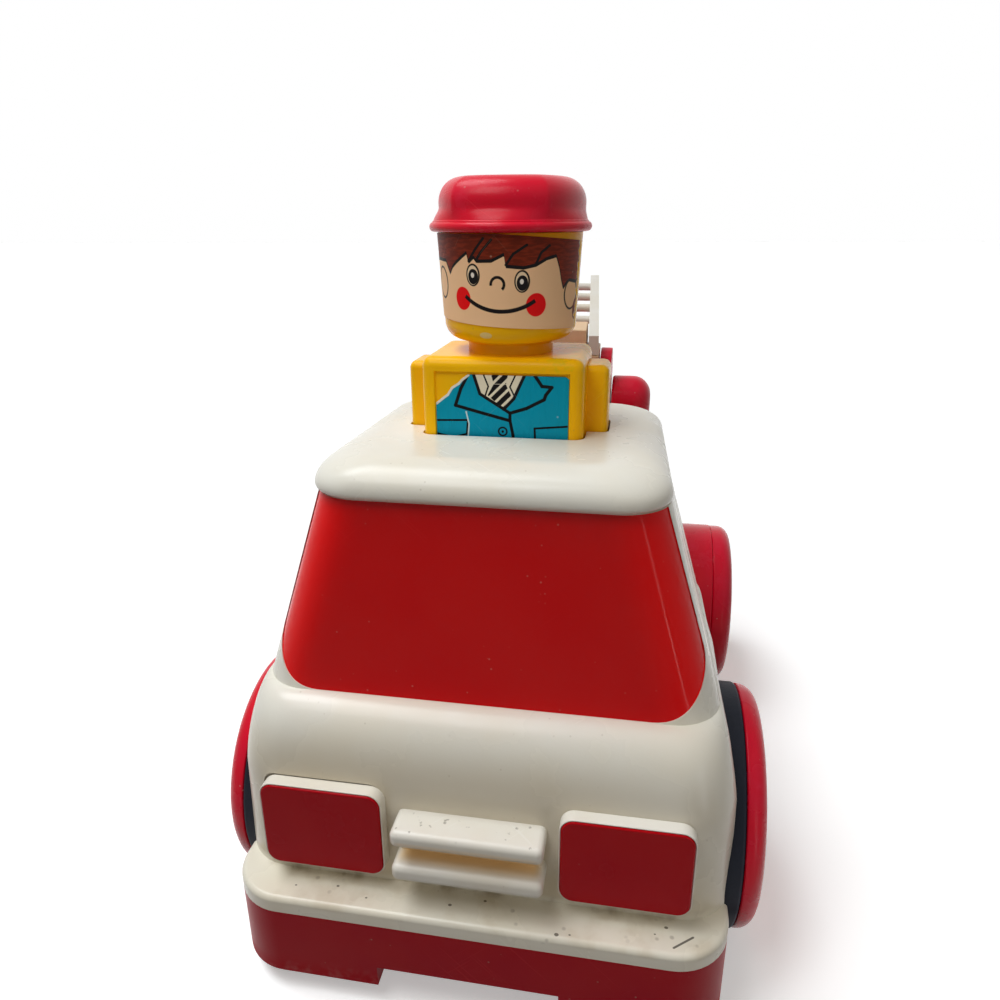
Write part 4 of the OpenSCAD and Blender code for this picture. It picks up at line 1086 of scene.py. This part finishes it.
def jacket_finish(name):
    """A plain blue jacket with lapels, a shirt, a striped tie, buttons and pockets."""
    c = colours()
    made = Print(name, c.jacket, 0.30, LABEL_SHINE)
    tree = made.tree
    split = made.parts()
    up = math_node(tree, "MULTIPLY_ADD", split["Z"], PER_METRE, -JACKET_MIDDLE)
    made.set_page(product(tree, split["X"], PER_METRE), up)
    age = made.age(0.5, 0.25)
    made.paint((0.004, 0.30, 0.43), 0.45, age["Tone"])
    shirt = made.patch([(0.6, 6.2), (3.2, 9.0), (5.9, 16.0), (-7.2, 16.0), (-5.6, 10.0)])
    made.paint(c.shirt, 1.0, shirt)
    tie = made.patch([(0.3, 6.4), (2.7, 9.4), (1.2, 12.6), (-2.0, 12.6), (-3.6, 9.7)])
    knot = made.patch([(1.2, 12.7), (1.9, 16.0), (-2.9, 16.0), (-2.0, 12.7)])
    bars = tree.nodes.new("ShaderNodeTexWave")
    bars.wave_type = "BANDS"
    bars.bands_direction = "DIAGONAL"
    link(tree, vector_node(tree, "MULTIPLY", made.page, (1.0, -1.0, 1.0)), bars.inputs["Vector"])
    bars.inputs["Scale"].default_value = 0.23
    stripes = fade(tree, bars.outputs["Fac"], 0.70, 0.80)
    made.paint(blend_colour(tree, stripes, c.ink, c.shirt), 1.0, math_node(tree, "MAXIMUM", tie, knot))
    for points, width in (
        (((-7.2, 15.0), (-5.6, 10.0), (0.6, 6.2), (3.2, 9.0), (5.9, 15.0)), 0.80),
        (((-4.6, 15.0), (-3.4, 12.0), (-4.4, 9.0)), 0.40),
        (((3.6, 15.0), (2.2, 12.0), (3.4, 9.6)), 0.40),
        (((-8.6, 15.0), (-10.6, 11.2), (-12.1, 6.8), (-5.0, 5.0), (2.2, 3.2)), 0.85),
        (((8.6, 15.0), (10.4, 12.4), (12.9, 12.2), (11.4, 10.2), (11.0, 9.0), (6.5, 6.6), (2.2, 5.2)),
         0.85),
        (((0.6, 6.2), (2.2, 5.2), (2.2, 3.2), (3.0, -0.7), (3.2, -26.0)), 0.80),
        (((-16.9, 2.7), (-8.9, 3.0), (-9.2, -0.7), (-12.8, -1.8), (-16.9, -0.9)), 0.52),
        (((16.9, 2.2), (8.6, 1.4), (8.8, -2.2), (12.4, -3.0), (16.9, -1.9)), 0.52),
    ):
        made.stroke(points, width, c.ink)
    for height in (0.3, -8.7, -17.7):
        for radius, colour in ((1.3, c.ink), (0.85, c.jacket), (0.35, c.ink)):
            made.oval((0.3, height), (radius, radius), colour)
    low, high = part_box("jacket_label")
    torn = [
        (mix(low.x, high.x, u) * PER_METRE, mix(low.z, high.z, v) * PER_METRE - JACKET_MIDDLE)
        for u, v in TEAR
    ]
    made.stroke(torn, 1.1, (0.84, 0.82, 0.74))
    made.stroke([(-9.3, 5.2), (-8.6, 2.0), (-8.9, -1.4)], 0.35, (0.62, 0.78, 0.80))
    drawn = vector_node(tree, "MULTIPLY", made.page, (0.5, 0.08, 1.0))
    made.raise_by(cloud(tree, drawn, 1.0, 4.0, 0.48, 0.56), 1.2)
    made.paint((0.60, 0.74, 0.76), 0.6, age["Scratch"])
    made.paint((0.60, 0.68, 0.68), 0.6, age["Dust"])
    made.roughen(age["Tone"], 0.12)
    return made.done(0.2)


FINISHES = {
    "cab_cream": cream_finish,
    "window_red": window_finish,
    "lamp_red": lamp_finish,
    "trim_white": trim_finish,
    "base_red": base_finish,
    "body_red": red_finish,
    "figure_yellow": yellow_finish,
    "face_print": face_finish,
    "jacket_print": jacket_finish,
    "ring_rubber": rubber_finish,
    "gear_nylon": nylon_finish,
    "steel": steel_finish,
    "aged_white": peach_shade_finish,
}


def finish_of(slot):
    """The material of a slot of the record."""
    return bpy.data.materials[slot + "_finish"]


class TRUCK_OT_finishes(Operator):
    """Make the shared effects and a finish for each material slot"""

    bl_idname = "truck.finishes"
    bl_label = "Finishes"

    def execute(self, context):
        make_aged_moulding()
        make_marks()
        for slot, make in FINISHES.items():
            make(slot + "_finish")
        return {"FINISHED"}


class TRUCK_OT_cab(Operator):
    """Cab moulding with its ledge, window opening, wheel arches and driver's slot"""

    bl_idname = "truck.cab"
    bl_label = "Cab"

    def execute(self, context):
        s = cab_sizes()
        f = figure_sizes()
        cab = cab_form("cab_moulding", 0.0)
        carve(cab, ledge_form(), "UNION")
        carve(cab, cab_form("hollow", s.wall), "DIFFERENCE")
        carve(cab, window_block(0.0), "DIFFERENCE")
        wheel_y = middle_of("left_front_tyre").y
        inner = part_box("right_front_wheel")[0].x - 2.5 * MM
        arch = f.wheel_radius + ARCH_ROOM
        for side in (-1, 1):
            bm = bmesh.new()
            bmesh.ops.create_cone(
                bm, cap_ends=True, segments=96, radius1=arch, radius2=arch, depth=ARCH_DEPTH
            )
            bmesh.ops.rotate(bm, cent=(0, 0, 0), matrix=Matrix.Rotation(math.pi / 2, 3, "Y"), verts=bm.verts)
            place = (side * (inner + ARCH_DEPTH / 2), wheel_y, f.wheel_radius)
            bmesh.ops.translate(bm, vec=place, verts=bm.verts)
            carve(cab, solid("arch_block", bm), "DIFFERENCE")
        bm, _ = raised_plate(*pad_size(), SEAT_DEPTH)
        lamp = middle_of("left_headlight")
        stand(bm, Vector((lamp.x, FRONT + s.face + SEAT_DEPTH / 2, lamp.z)) + SEAT_SHIFT)
        carve(cab, solid("seat_block", bm), "DIFFERENCE")
        for width, depth, radius in (
            (f.torso_width, f.torso_depth, 3 * MM),
            (f.torso_width + 2 * f.rib_reach, f.rib_depth, 2 * MM),
        ):
            bm, _ = raised_plate(width + 2 * s.slot_room, depth + 2 * s.slot_room, radius, 3 * s.wall)
            bmesh.ops.translate(bm, vec=(0, driver_axis(), s.roof_height - 2 * s.wall), verts=bm.verts)
            carve(cab, solid("slot_block", bm), "DIFFERENCE")
        dress(cab, "body", "cab_cream", ["cab_shell"], 0.5 * MM)
        return {"FINISHED"}


class TRUCK_OT_windscreen(Operator):
    """Red windscreen that follows the cab's form inside its opening"""

    bl_idname = "truck.windscreen"
    bl_label = "Windscreen"

    def execute(self, context):
        s = cab_sizes()
        pane = cab_form("windscreen_pane", 0.2 * MM)
        carve(pane, window_block(-0.03 * MM), "INTERSECT")
        flange = cab_form("flange", s.wall + 0.05 * MM)
        carve(flange, window_block(2.6 * MM), "INTERSECT")
        carve(pane, flange, "UNION")
        carve(pane, cab_form("hollow", s.wall + 1.6 * MM), "DIFFERENCE")
        dress(pane, "body", "window_red", ["windscreen"], 0.15 * MM, 2)
        return {"FINISHED"}


class TRUCK_OT_headlights(Operator):
    """Two raised white pads with red lamps set into them"""

    bl_idname = "truck.headlights"
    bl_label = "Headlights"

    def execute(self, context):
        f = figure_sizes()
        face = FRONT + cab_sizes().face
        proud = 0.35 * MM
        for name in ("left", "right"):
            lamp_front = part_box(name + "_headlight")[0].y
            middle = middle_of(name + "_headlight")
            pad_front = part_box(name + "_headlight_bezel")[0].y
            bm, front = raised_plate(*pad_size(), face - pad_front)
            bmesh.ops.inset_region(bm, faces=front, thickness=f.lamp_edge, use_even_offset=True)
            sunk = bmesh.ops.extrude_face_region(bm, geom=front)["geom"]
            bmesh.ops.translate(bm, vec=(0, 0, -2.0 * MM), verts=only(sunk, bmesh.types.BMVert))
            bmesh.ops.delete(bm, geom=front, context="FACES_KEEP_BOUNDARY")
            stand(bm, (middle.x, face, middle.z))
            pad = solid(name + "_lamp_pad", bm)
            dress(pad, "body", "trim_white", [name + "_headlight_bezel"], proud)
            spare = 2 * (f.lamp_rim - f.lamp_edge - 0.05 * MM)
            back = pad_front + 1.9 * MM
            bm, _ = raised_plate(
                f.lamp_width + spare, f.lamp_height + spare, f.lamp_corner + spare / 2,
                back - min(lamp_front, pad_front - proud),
            )
            stand(bm, (middle.x, back, middle.z))
            dress(solid(name + "_lamp", bm), "body", "lamp_red", [name + "_headlight"], proud)
        return {"FINISHED"}


class TRUCK_OT_grille(Operator):
    """Two round-edged lips on a backing plate between the headlights"""

    bl_idname = "truck.grille"
    bl_label = "Grille"

    def execute(self, context):
        f = figure_sizes()
        low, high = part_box("grille")
        face = FRONT + cab_sizes().face
        lip = f.lip
        top = high.z - f.grille_top
        bm = bmesh.new()
        for width, front, bottom, upper, edge in (
            (high.x - low.x - MM, face - 2.5 * MM, low.z + 0.3 * MM, top - 0.3 * MM, 0.6 * MM),
            (high.x - low.x + MM, low.y, low.z + 0.6 * MM, low.z + 0.6 * MM + lip, 1.7 * MM),
            (high.x - low.x + MM, low.y, top - lip, top, 1.7 * MM),
        ):
            centre = (0, (face + front) / 2, (upper + bottom) / 2)
            cube = box_of(bm, centre, (width, face - front, upper - bottom))
            edges = {e for v in cube for e in v.link_edges if any(w.co.y < face - MM for w in e.verts)}
            round_over(bm, edges, edge, 6)
        dress(solid("front_grille", bm), "body", "trim_white", ["grille"])
        return {"FINISHED"}


UP = (0.0, 0.0, 1.0)
LABEL_TOP_SLANT = 0.075
LABEL_FOOT_SLANT = 0.055
HAT_PANEL = FULL_TURN / 5
PANEL_DEPTH = 0.075


def make_head(f, centre):
    """The head, with a spigot below its neck and a step for the hat."""
    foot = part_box("driver_head")[0].z
    spigot = f.neck_radius - 2.4 * MM
    neck_foot = f.shoulder + 0.02 * MM
    step = f.head_radius - 2 * MM
    crown = f.hat_top - 4.4 * MM
    profile = [(0.0, foot), (spigot, foot), (spigot, neck_foot), (f.neck_radius, neck_foot)]
    profile += bend(f.neck_radius + MM, f.chin - MM, MM, 180, 90, 4)
    profile += bend(f.jaw_radius - f.chin_round, f.chin + f.chin_round, f.chin_round, -90, 0, 10)
    profile += [(f.head_radius, f.hat_low), (step, f.hat_low), (step, crown), (0.0, crown)]
    dress(turned("figure_head", profile, centre, UP), "driver", "figure_yellow", ["driver_head"])


def make_face(f, centre):
    """The face label, wrapped round the head and stuck on a little askew."""
    low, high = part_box("face_label")
    jaw = f.chin + f.chin_round
    r_low, r_high = (
        mix(f.jaw_radius, f.head_radius, (end.z - jaw) / (f.hat_low - jaw)) for end in (low, high)
    )
    under, over = 0.04 * MM, 0.30 * MM
    sheet = [
        (r_low + under, low.z), (r_low + over, low.z), (r_high + over, high.z),
        (r_high + under, high.z), (r_low + under, low.z),
    ]
    label = turned("face_sheet", sheet, centre, UP, 80, 2 * LABEL_HALF)
    bm = bmesh.new()
    bm.from_mesh(label.data)
    bmesh.ops.rotate(bm, cent=centre, matrix=Matrix.Rotation(-LABEL_HALF, 3, "Z"), verts=bm.verts)
    bmesh.ops.holes_fill(bm, edges=[e for e in bm.edges if len(e.link_faces) == 1], sides=8)
    for vert in bm.verts:
        across = math.atan2(vert.co.x, centre[1] - vert.co.y) * f.head_radius
        upper = vert.co.z > (low.z + high.z) / 2
        vert.co.z -= max(0.0, LABEL_TOP_SLANT * across) if upper else LABEL_FOOT_SLANT * across
    bmesh.ops.recalc_face_normals(bm, faces=bm.faces)
    bm.to_mesh(label.data)
    bm.free()
    dress(label, "driver", "face_print", ["face_label"])


def make_hat(f, centre):
    """The hat: a rolled brim and a round crown, drawn in between the seams of its panels."""
    axis_y = centre[1]
    side = f.head_radius + 1.00 * MM
    top = f.head_radius + 1.15 * MM
    bore = f.head_radius - 1.95 * MM
    low = f.hat_low + 0.15 * MM
    foot = f.hat_low + 3.3 * MM
    rim = 1.2 * MM
    crown = 6.0 * MM
    profile = [(0.0, f.hat_top - 4.0 * MM), (bore, f.hat_top - 4.0 * MM), (bore, low)]
    profile += bend(f.brim_radius - rim, low + rim, rim, -90, 70, 8)
    profile += bend(side + 0.5 * MM, f.hat_low + 3.2 * MM, 0.5 * MM, 250, 180, 4)
    profile += [(mix(side, top, i / 6), mix(foot, f.hat_top - crown, i / 6)) for i in range(1, 6)]
    profile += bend(top - crown, f.hat_top - crown, crown, 0, 90, 14)
    profile += [((top - crown) * (1 - i / 4), f.hat_top) for i in range(1, 5)]
    hat = turned("figure_hat", profile, centre, UP, 200)
    for vert in hat.data.vertices:
        out = Vector((vert.co.x, vert.co.y - axis_y))
        if vert.co.z < foot or out.length < 1e-6:
            continue
        turn = math.atan2(out.x, -out.y)
        across = abs((turn + HAT_PANEL / 2) % HAT_PANEL - HAT_PANEL / 2) / (HAT_PANEL / 2)
        share = min(1.0, (vert.co.z - foot) / (2.2 * MM))
        draw = 1 - PANEL_DEPTH * share * math.cos(math.pi / 2 * min(across, 1.0))
        vert.co.x *= draw
        vert.co.y = axis_y + (vert.co.y - axis_y) * draw
    dress(hat, "driver", "body_red", ["driver_hat"])


def make_jacket():
    """The jacket label, with a torn upper corner."""
    low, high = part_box("jacket_label")
    corners = [(0.0, 0.0), (1.0, 0.0), (1.0, 0.985), (0.975, 1.0), *reversed(TEAR)]
    outline = [(mix(low.x, high.x, u), mix(low.z, high.z, v)) for u, v in corners]
    bm = block(outline, lambda u, v: Vector((u, high.y, v)), Vector((0.0, low.y - high.y, 0.0)))
    dress(solid("jacket_sheet", bm), "driver", "jacket_print", ["jacket_label"])


class TRUCK_OT_figure(Operator):
    """The driver's head, labels and panelled hat"""

    bl_idname = "truck.figure"
    bl_label = "Driver"

    def execute(self, context):
        f = figure_sizes()
        centre = (0.0, driver_axis(), 0.0)
        make_head(f, centre)
        make_face(f, centre)
        make_hat(f, centre)
        make_jacket()
        return {"FINISHED"}


class TRUCK_OT_torso(Operator):
    """The driver's torso: a thin moulding with a framed front and two side ribs"""

    bl_idname = "truck.torso"
    bl_label = "Torso"

    def execute(self, context):
        f = figure_sizes()
        axis_y = driver_axis()
        label_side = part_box("jacket_label")[1].x
        bm = bmesh.new()
        tall = f.shoulder - f.torso_low
        box_of(bm, (0, axis_y, f.torso_low + tall / 2), (f.torso_width, f.torso_depth, tall))
        floor = [face for face in bm.faces if face.normal.z < -0.9]
        bmesh.ops.delete(bm, geom=floor, context="FACES_ONLY")
        round_over(bm, [edge for edge in bm.edges if len(edge.link_faces) == 2], f.torso_round, 6)
        front = max((face for face in bm.faces if face.normal.y < -0.99), key=lambda face: face.calc_area())
        edge = max(v.co.x for v in front.verts) - label_side - 0.3 * MM
        bmesh.ops.inset_region(bm, faces=[front], thickness=edge, use_even_offset=True)
        bmesh.ops.inset_region(bm, faces=[front], thickness=0.25 * MM, depth=-0.8 * MM, use_even_offset=True)
        bmesh.ops.recalc_face_normals(bm, faces=bm.faces)
        bmesh.ops.solidify(bm, geom=bm.faces[:], thickness=1.6 * MM)
        rib_top = f.shoulder - f.rib_drop
        reach = f.rib_reach + MM
        for side in (-1, 1):
            x = side * (f.torso_width / 2 + f.rib_reach - reach / 2)
            rib = box_of(
                bm, (x, axis_y, (rib_top + f.torso_low) / 2), (reach, f.rib_depth, rib_top - f.torso_low)
            )
            edges = {
                edge for vert in rib for edge in vert.link_edges
                if all(v.co.x * side > f.torso_width / 2 for v in edge.verts)
                or all(v.co.z > rib_top - MM for v in edge.verts)
            }
            round_over(bm, edges, 1.9 * MM, 5)
        rack = packed("driver_torso")
        bmesh.ops.bisect_plane(
            rack, geom=rack.verts[:] + rack.edges[:] + rack.faces[:],
            plane_co=(0, 0, f.torso_low - 0.05 * MM), plane_no=(0, 0, 1), clear_outer=True,
        )
        bmesh.ops.holes_fill(rack, edges=[e for e in rack.edges if len(e.link_faces) == 1], sides=0)
        inner = bpy.data.meshes.new("rack")
        rack.to_mesh(inner)
        rack.free()
        bm.from_mesh(inner)
        bpy.data.meshes.remove(inner)
        dress(solid("figure_torso", bm), "driver", "figure_yellow", ["driver_torso"])
        return {"FINISHED"}


CAP_ROUND = 4.6 * MM
GROOVE_OUTER = 19.6 * MM
GROOVE_INNER = 18.2 * MM
HUB_FOOT = 8.0 * MM
HUB_TOP = 6.6 * MM
TYRE_ROUND = 0.9 * MM


def wheel_part(name, node, profile, side, body, slot):
    """A turned piece of a wheel, from a profile that is given the node's two faces."""
    low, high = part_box(node)
    centre = (0.0, (low.y + high.y) / 2, figure_sizes().wheel_radius)
    points = profile(*sorted((abs(low.x), abs(high.x))))
    dress(turned(name, points, centre, (side, 0.0, 0.0), 128), body, slot, [node])


def cap_profile(inner, outer):
    """A wheel's cap: a round edge, a shallow groove and a hub."""
    rim = figure_sizes().wheel_radius - 0.3 * MM
    nick = 0.5 * MM
    soft = 0.6 * MM
    profile = [(0.0, inner), (rim - nick, inner)]
    profile += bend(rim - nick, inner + nick, nick, -90, 0, 4)
    profile += bend(rim - CAP_ROUND, outer - CAP_ROUND, CAP_ROUND, 0, 90, 10)
    profile += bend(GROOVE_OUTER, outer - soft, soft, 90, 180, 4)
    profile += bend(GROOVE_INNER, outer - MM, soft, 0, -90, 4)
    profile += bend(HUB_FOOT, outer - MM, soft, -90, -180, 4)
    return profile + bend(HUB_TOP, outer - 0.8 * MM, 0.8 * MM, 0, 90, 4) + [(0.0, outer)]


def tyre_profile(inner, outer):
    """A rubber ring with round shoulders."""
    r = figure_sizes().wheel_radius
    bore = r - 2.6 * MM
    shoulder = r - TYRE_ROUND
    profile = [(bore, inner), (shoulder, inner)]
    profile += bend(shoulder, inner + TYRE_ROUND, TYRE_ROUND, -90, 0, 6)
    profile += bend(shoulder, outer - TYRE_ROUND, TYRE_ROUND, 0, 90, 6)
    return profile + [(bore, outer), (bore, inner)]


class TRUCK_OT_wheels(Operator):
    """Red wheel drums and caps, and the black rubber rings of the front wheels"""

    bl_idname = "truck.wheels"
    bl_label = "Wheels"

    def execute(self, context):
        for end in ("front", "rear"):
            body = end + "_axle"
            for name, side in (("left", -1), ("right", 1)):
                wheel = f"{name}_{end}"
                wheel_part(wheel + "_disc", wheel + "_cap", cap_profile, side, body, "body_red")
                softened(wheel + "_wheel", body, "body_red", 0.4 * MM)
                if end == "front":
                    ring_name = name + "_rubber_ring"
                    wheel_part(ring_name, wheel + "_tyre", tyre_profile, side, body, "ring_rubber")
        return {"FINISHED"}


class TRUCK_OT_bodywork(Operator):
    """Base pan, rear body, turntable and ladder with soft moulded edges"""

    bl_idname = "truck.bodywork"
    bl_label = "Bodywork"

    def execute(self, context):
        for node, body, slot, edge in (
            ("chassis", "body", "base_red", 0.7),
            ("turntable", "turntable", "body_red", 0.5),
            ("ladder", "ladder", "trim_white", 0.5),
            ("ladder_base", "ladder", "aged_white", 0.6),
            ("left_ladder_knob", "ladder", "body_red", 0.3),
            ("right_ladder_knob", "ladder", "body_red", 0.3),
        ):
            softened(node, body, slot, edge * MM)
        softened("rear_body", "body", "body_red", 0.6 * MM, tail_form())
        return {"FINISHED"}


class TRUCK_OT_spring(Operator):
    """Return spring under the driver, given a mesh of its own"""

    bl_idname = "truck.spring"
    bl_label = "Return spring"

    def execute(self, context):
        coil = solid("press_spring", packed("return_spring"))
        dress(coil, "body", "steel", ["return_spring"])
        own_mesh(coil)
        return {"FINISHED"}


class TRUCK_OT_inner_parts(Operator):
    """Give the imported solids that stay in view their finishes"""

    bl_idname = "truck.inner_parts"
    bl_label = "Gears, axles and screws"

    def execute(self, context):
        slots = {entry["node"]: entry["material_slot"] for entry in frame["record"]["subparts"]}
        for node, piece in frame["nodes"].items():
            for holder in piece.material_slots:
                holder.material = finish_of(slots[node])
        return {"FINISHED"}


def seen_directly(tree):
    """One for camera, glossy and transmission rays, and nought for diffuse light."""
    path = tree.nodes.new("ShaderNodeLightPath").outputs
    mirror = math_node(tree, "MAXIMUM", path["Is Glossy Ray"], path["Is Transmission Ray"])
    return math_node(tree, "MAXIMUM", path["Is Camera Ray"], mirror)


SUNS = (
    ("key", (-0.42, 0.05, 1.0), 30.0, 1.85, (0.93, 0.97, 1.0)),
    ("fill", (0.75, -0.55, 0.9), 60.0, 0.25, (1.0, 0.97, 0.93)),
)
BOXES = (
    ("front_box", (-0.10, -0.24, 0.42), (0.0, -0.045, 0.16), 0.16, 0.16, 0.46),
    ("side_strip", (0.19, -0.21, 0.06), (0.045, -0.085, 0.10), 0.008, 0.16, 0.03),
)
FLOOR_GLOW = 0.37
SKY_LIGHT = 0.14
WHITE = (1.0, 1.0, 1.0)
VIEW_PLACE = (0.03392, -0.24713, 0.19087)
VIEW_TURN = (10.118, 20.035, -0.378)
VIEW_LENS = 28.06


def hang(lamp, place, target, energy):
    """Hang a lamp at a place so that it shines on a target."""
    lamp.energy = energy
    holder = bpy.data.objects.new(lamp.name, lamp)
    bpy.context.scene.collection.objects.link(holder)
    holder.location = place
    holder.rotation_mode = "QUATERNION"
    holder.rotation_quaternion = (Vector(target) - Vector(place)).to_track_quat("-Z", "Y")
    return holder


class TRUCK_OT_stage(Operator):
    """Pale floor, soft studio light and the camera"""

    bl_idname = "truck.stage"
    bl_label = "Stage"

    def execute(self, context):
        scene = context.scene
        scene.view_settings.view_transform = "Standard"
        bm = bmesh.new()
        bmesh.ops.create_grid(bm, x_segments=1, y_segments=1, size=6.0)
        floor = solid("studio_floor", bm)
        made = Finish("studio_floor", (0.15, 0.145, 0.14), 0.9, 0.0)
        made.paint((0.16, 0.155, 0.15), 0.5, noise(made.tree, made.point, 3.0, 2.0))
        seen = seen_directly(made.tree)
        made.paint((0.93, 0.93, 0.93), 1.0, seen)
        made.shader.inputs["Emission Color"].default_value = opaque(WHITE)
        link(made.tree, product(made.tree, seen, FLOOR_GLOW), made.shader.inputs["Emission Strength"])
        floor.data.materials.append(made.done())

        world = bpy.data.worlds.new("studio_sky")
        scene.world = world
        world.use_nodes = True
        tree = world.node_tree
        back = tree.nodes["Background"]
        seen = seen_directly(tree)
        link(tree, blend_colour(tree, seen, (1.0, 0.91, 0.78), WHITE), back.inputs["Color"])
        link(tree, fade(tree, seen, 0.0, 1.0, SKY_LIGHT, 1.0), back.inputs["Strength"])

        for name, place, spread, energy, colour in SUNS:
            lamp = bpy.data.lights.new(name, "SUN")
            lamp.angle = math.radians(spread)
            lamp.color = colour
            hang(lamp, place, (0.0, 0.0, 0.0), energy)
        for name, place, target, wide, tall, energy in BOXES:
            lamp = bpy.data.lights.new(name, "AREA")
            lamp.shape = "RECTANGLE"
            lamp.size = wide
            lamp.size_y = tall
            hang(lamp, place, target, energy).visible_camera = False

        view = bpy.data.cameras.new("photo_view")
        view.sensor_width = 36.0
        view.lens = VIEW_LENS
        view.clip_start = 0.01
        eye = bpy.data.objects.new("photo_view", view)
        scene.collection.objects.link(eye)
        yaw, pitch, roll = (math.radians(angle) for angle in VIEW_TURN)
        ahead = Vector(
            (-math.sin(yaw) * math.cos(pitch), math.cos(yaw) * math.cos(pitch), -math.sin(pitch))
        )
        level = Vector((math.cos(yaw), math.sin(yaw), 0.0))
        rise = level.cross(ahead)
        right = math.cos(roll) * level + math.sin(roll) * rise
        top = -math.sin(roll) * level + math.cos(roll) * rise
        turn = Matrix((right, top, -ahead)).transposed()
        eye.matrix_world = Matrix.Translation(VIEW_PLACE) @ turn.to_4x4()
        scene.camera = eye
        return {"FINISHED"}


class TRUCK_PT_panel(Panel):
    """Sizes, colours and building steps"""

    bl_label = "Toy Fire Truck"
    bl_idname = "TRUCK_PT_panel"
    bl_space_type = "VIEW_3D"
    bl_region_type = "UI"
    bl_category = "Truck"

    def draw(self, context):
        layout = self.layout
        for title, group in (
            ("Cab", context.scene.truck_cab),
            ("Driver, lamps and wheels", context.scene.truck_figure),
            ("Colours", context.scene.truck_colours),
        ):
            layout.label(text=title)
            for key in group.__annotations__:
                layout.prop(group, key)
        for step in STEPS:
            layout.operator(step.bl_idname)


STEPS = (
    TRUCK_OT_finishes,
    TRUCK_OT_inner_parts,
    TRUCK_OT_cab,
    TRUCK_OT_windscreen,
    TRUCK_OT_headlights,
    TRUCK_OT_grille,
    TRUCK_OT_torso,
    TRUCK_OT_figure,
    TRUCK_OT_spring,
    TRUCK_OT_wheels,
    TRUCK_OT_bodywork,
    TRUCK_OT_stage,
)
CLASSES = (CabSizes, FigureSizes, Colours, *STEPS, TRUCK_PT_panel)


def register():
    """Add the sizes, steps and panel."""
    for item in CLASSES:
        bpy.utils.register_class(item)
    bpy.types.Scene.truck_cab = PointerProperty(type=CabSizes)
    bpy.types.Scene.truck_figure = PointerProperty(type=FigureSizes)
    bpy.types.Scene.truck_colours = PointerProperty(type=Colours)


def unregister():
    """Take the sizes, steps and panel away."""
    del bpy.types.Scene.truck_colours
    del bpy.types.Scene.truck_figure
    del bpy.types.Scene.truck_cab
    for item in reversed(CLASSES):
        bpy.utils.unregister_class(item)


def main():
    """Build the truck step by step."""
    register()
    for step in STEPS:
        group, name = step.bl_idname.split(".")
        getattr(getattr(bpy.ops, group), name)()


if __name__ == "__main__":
    main()
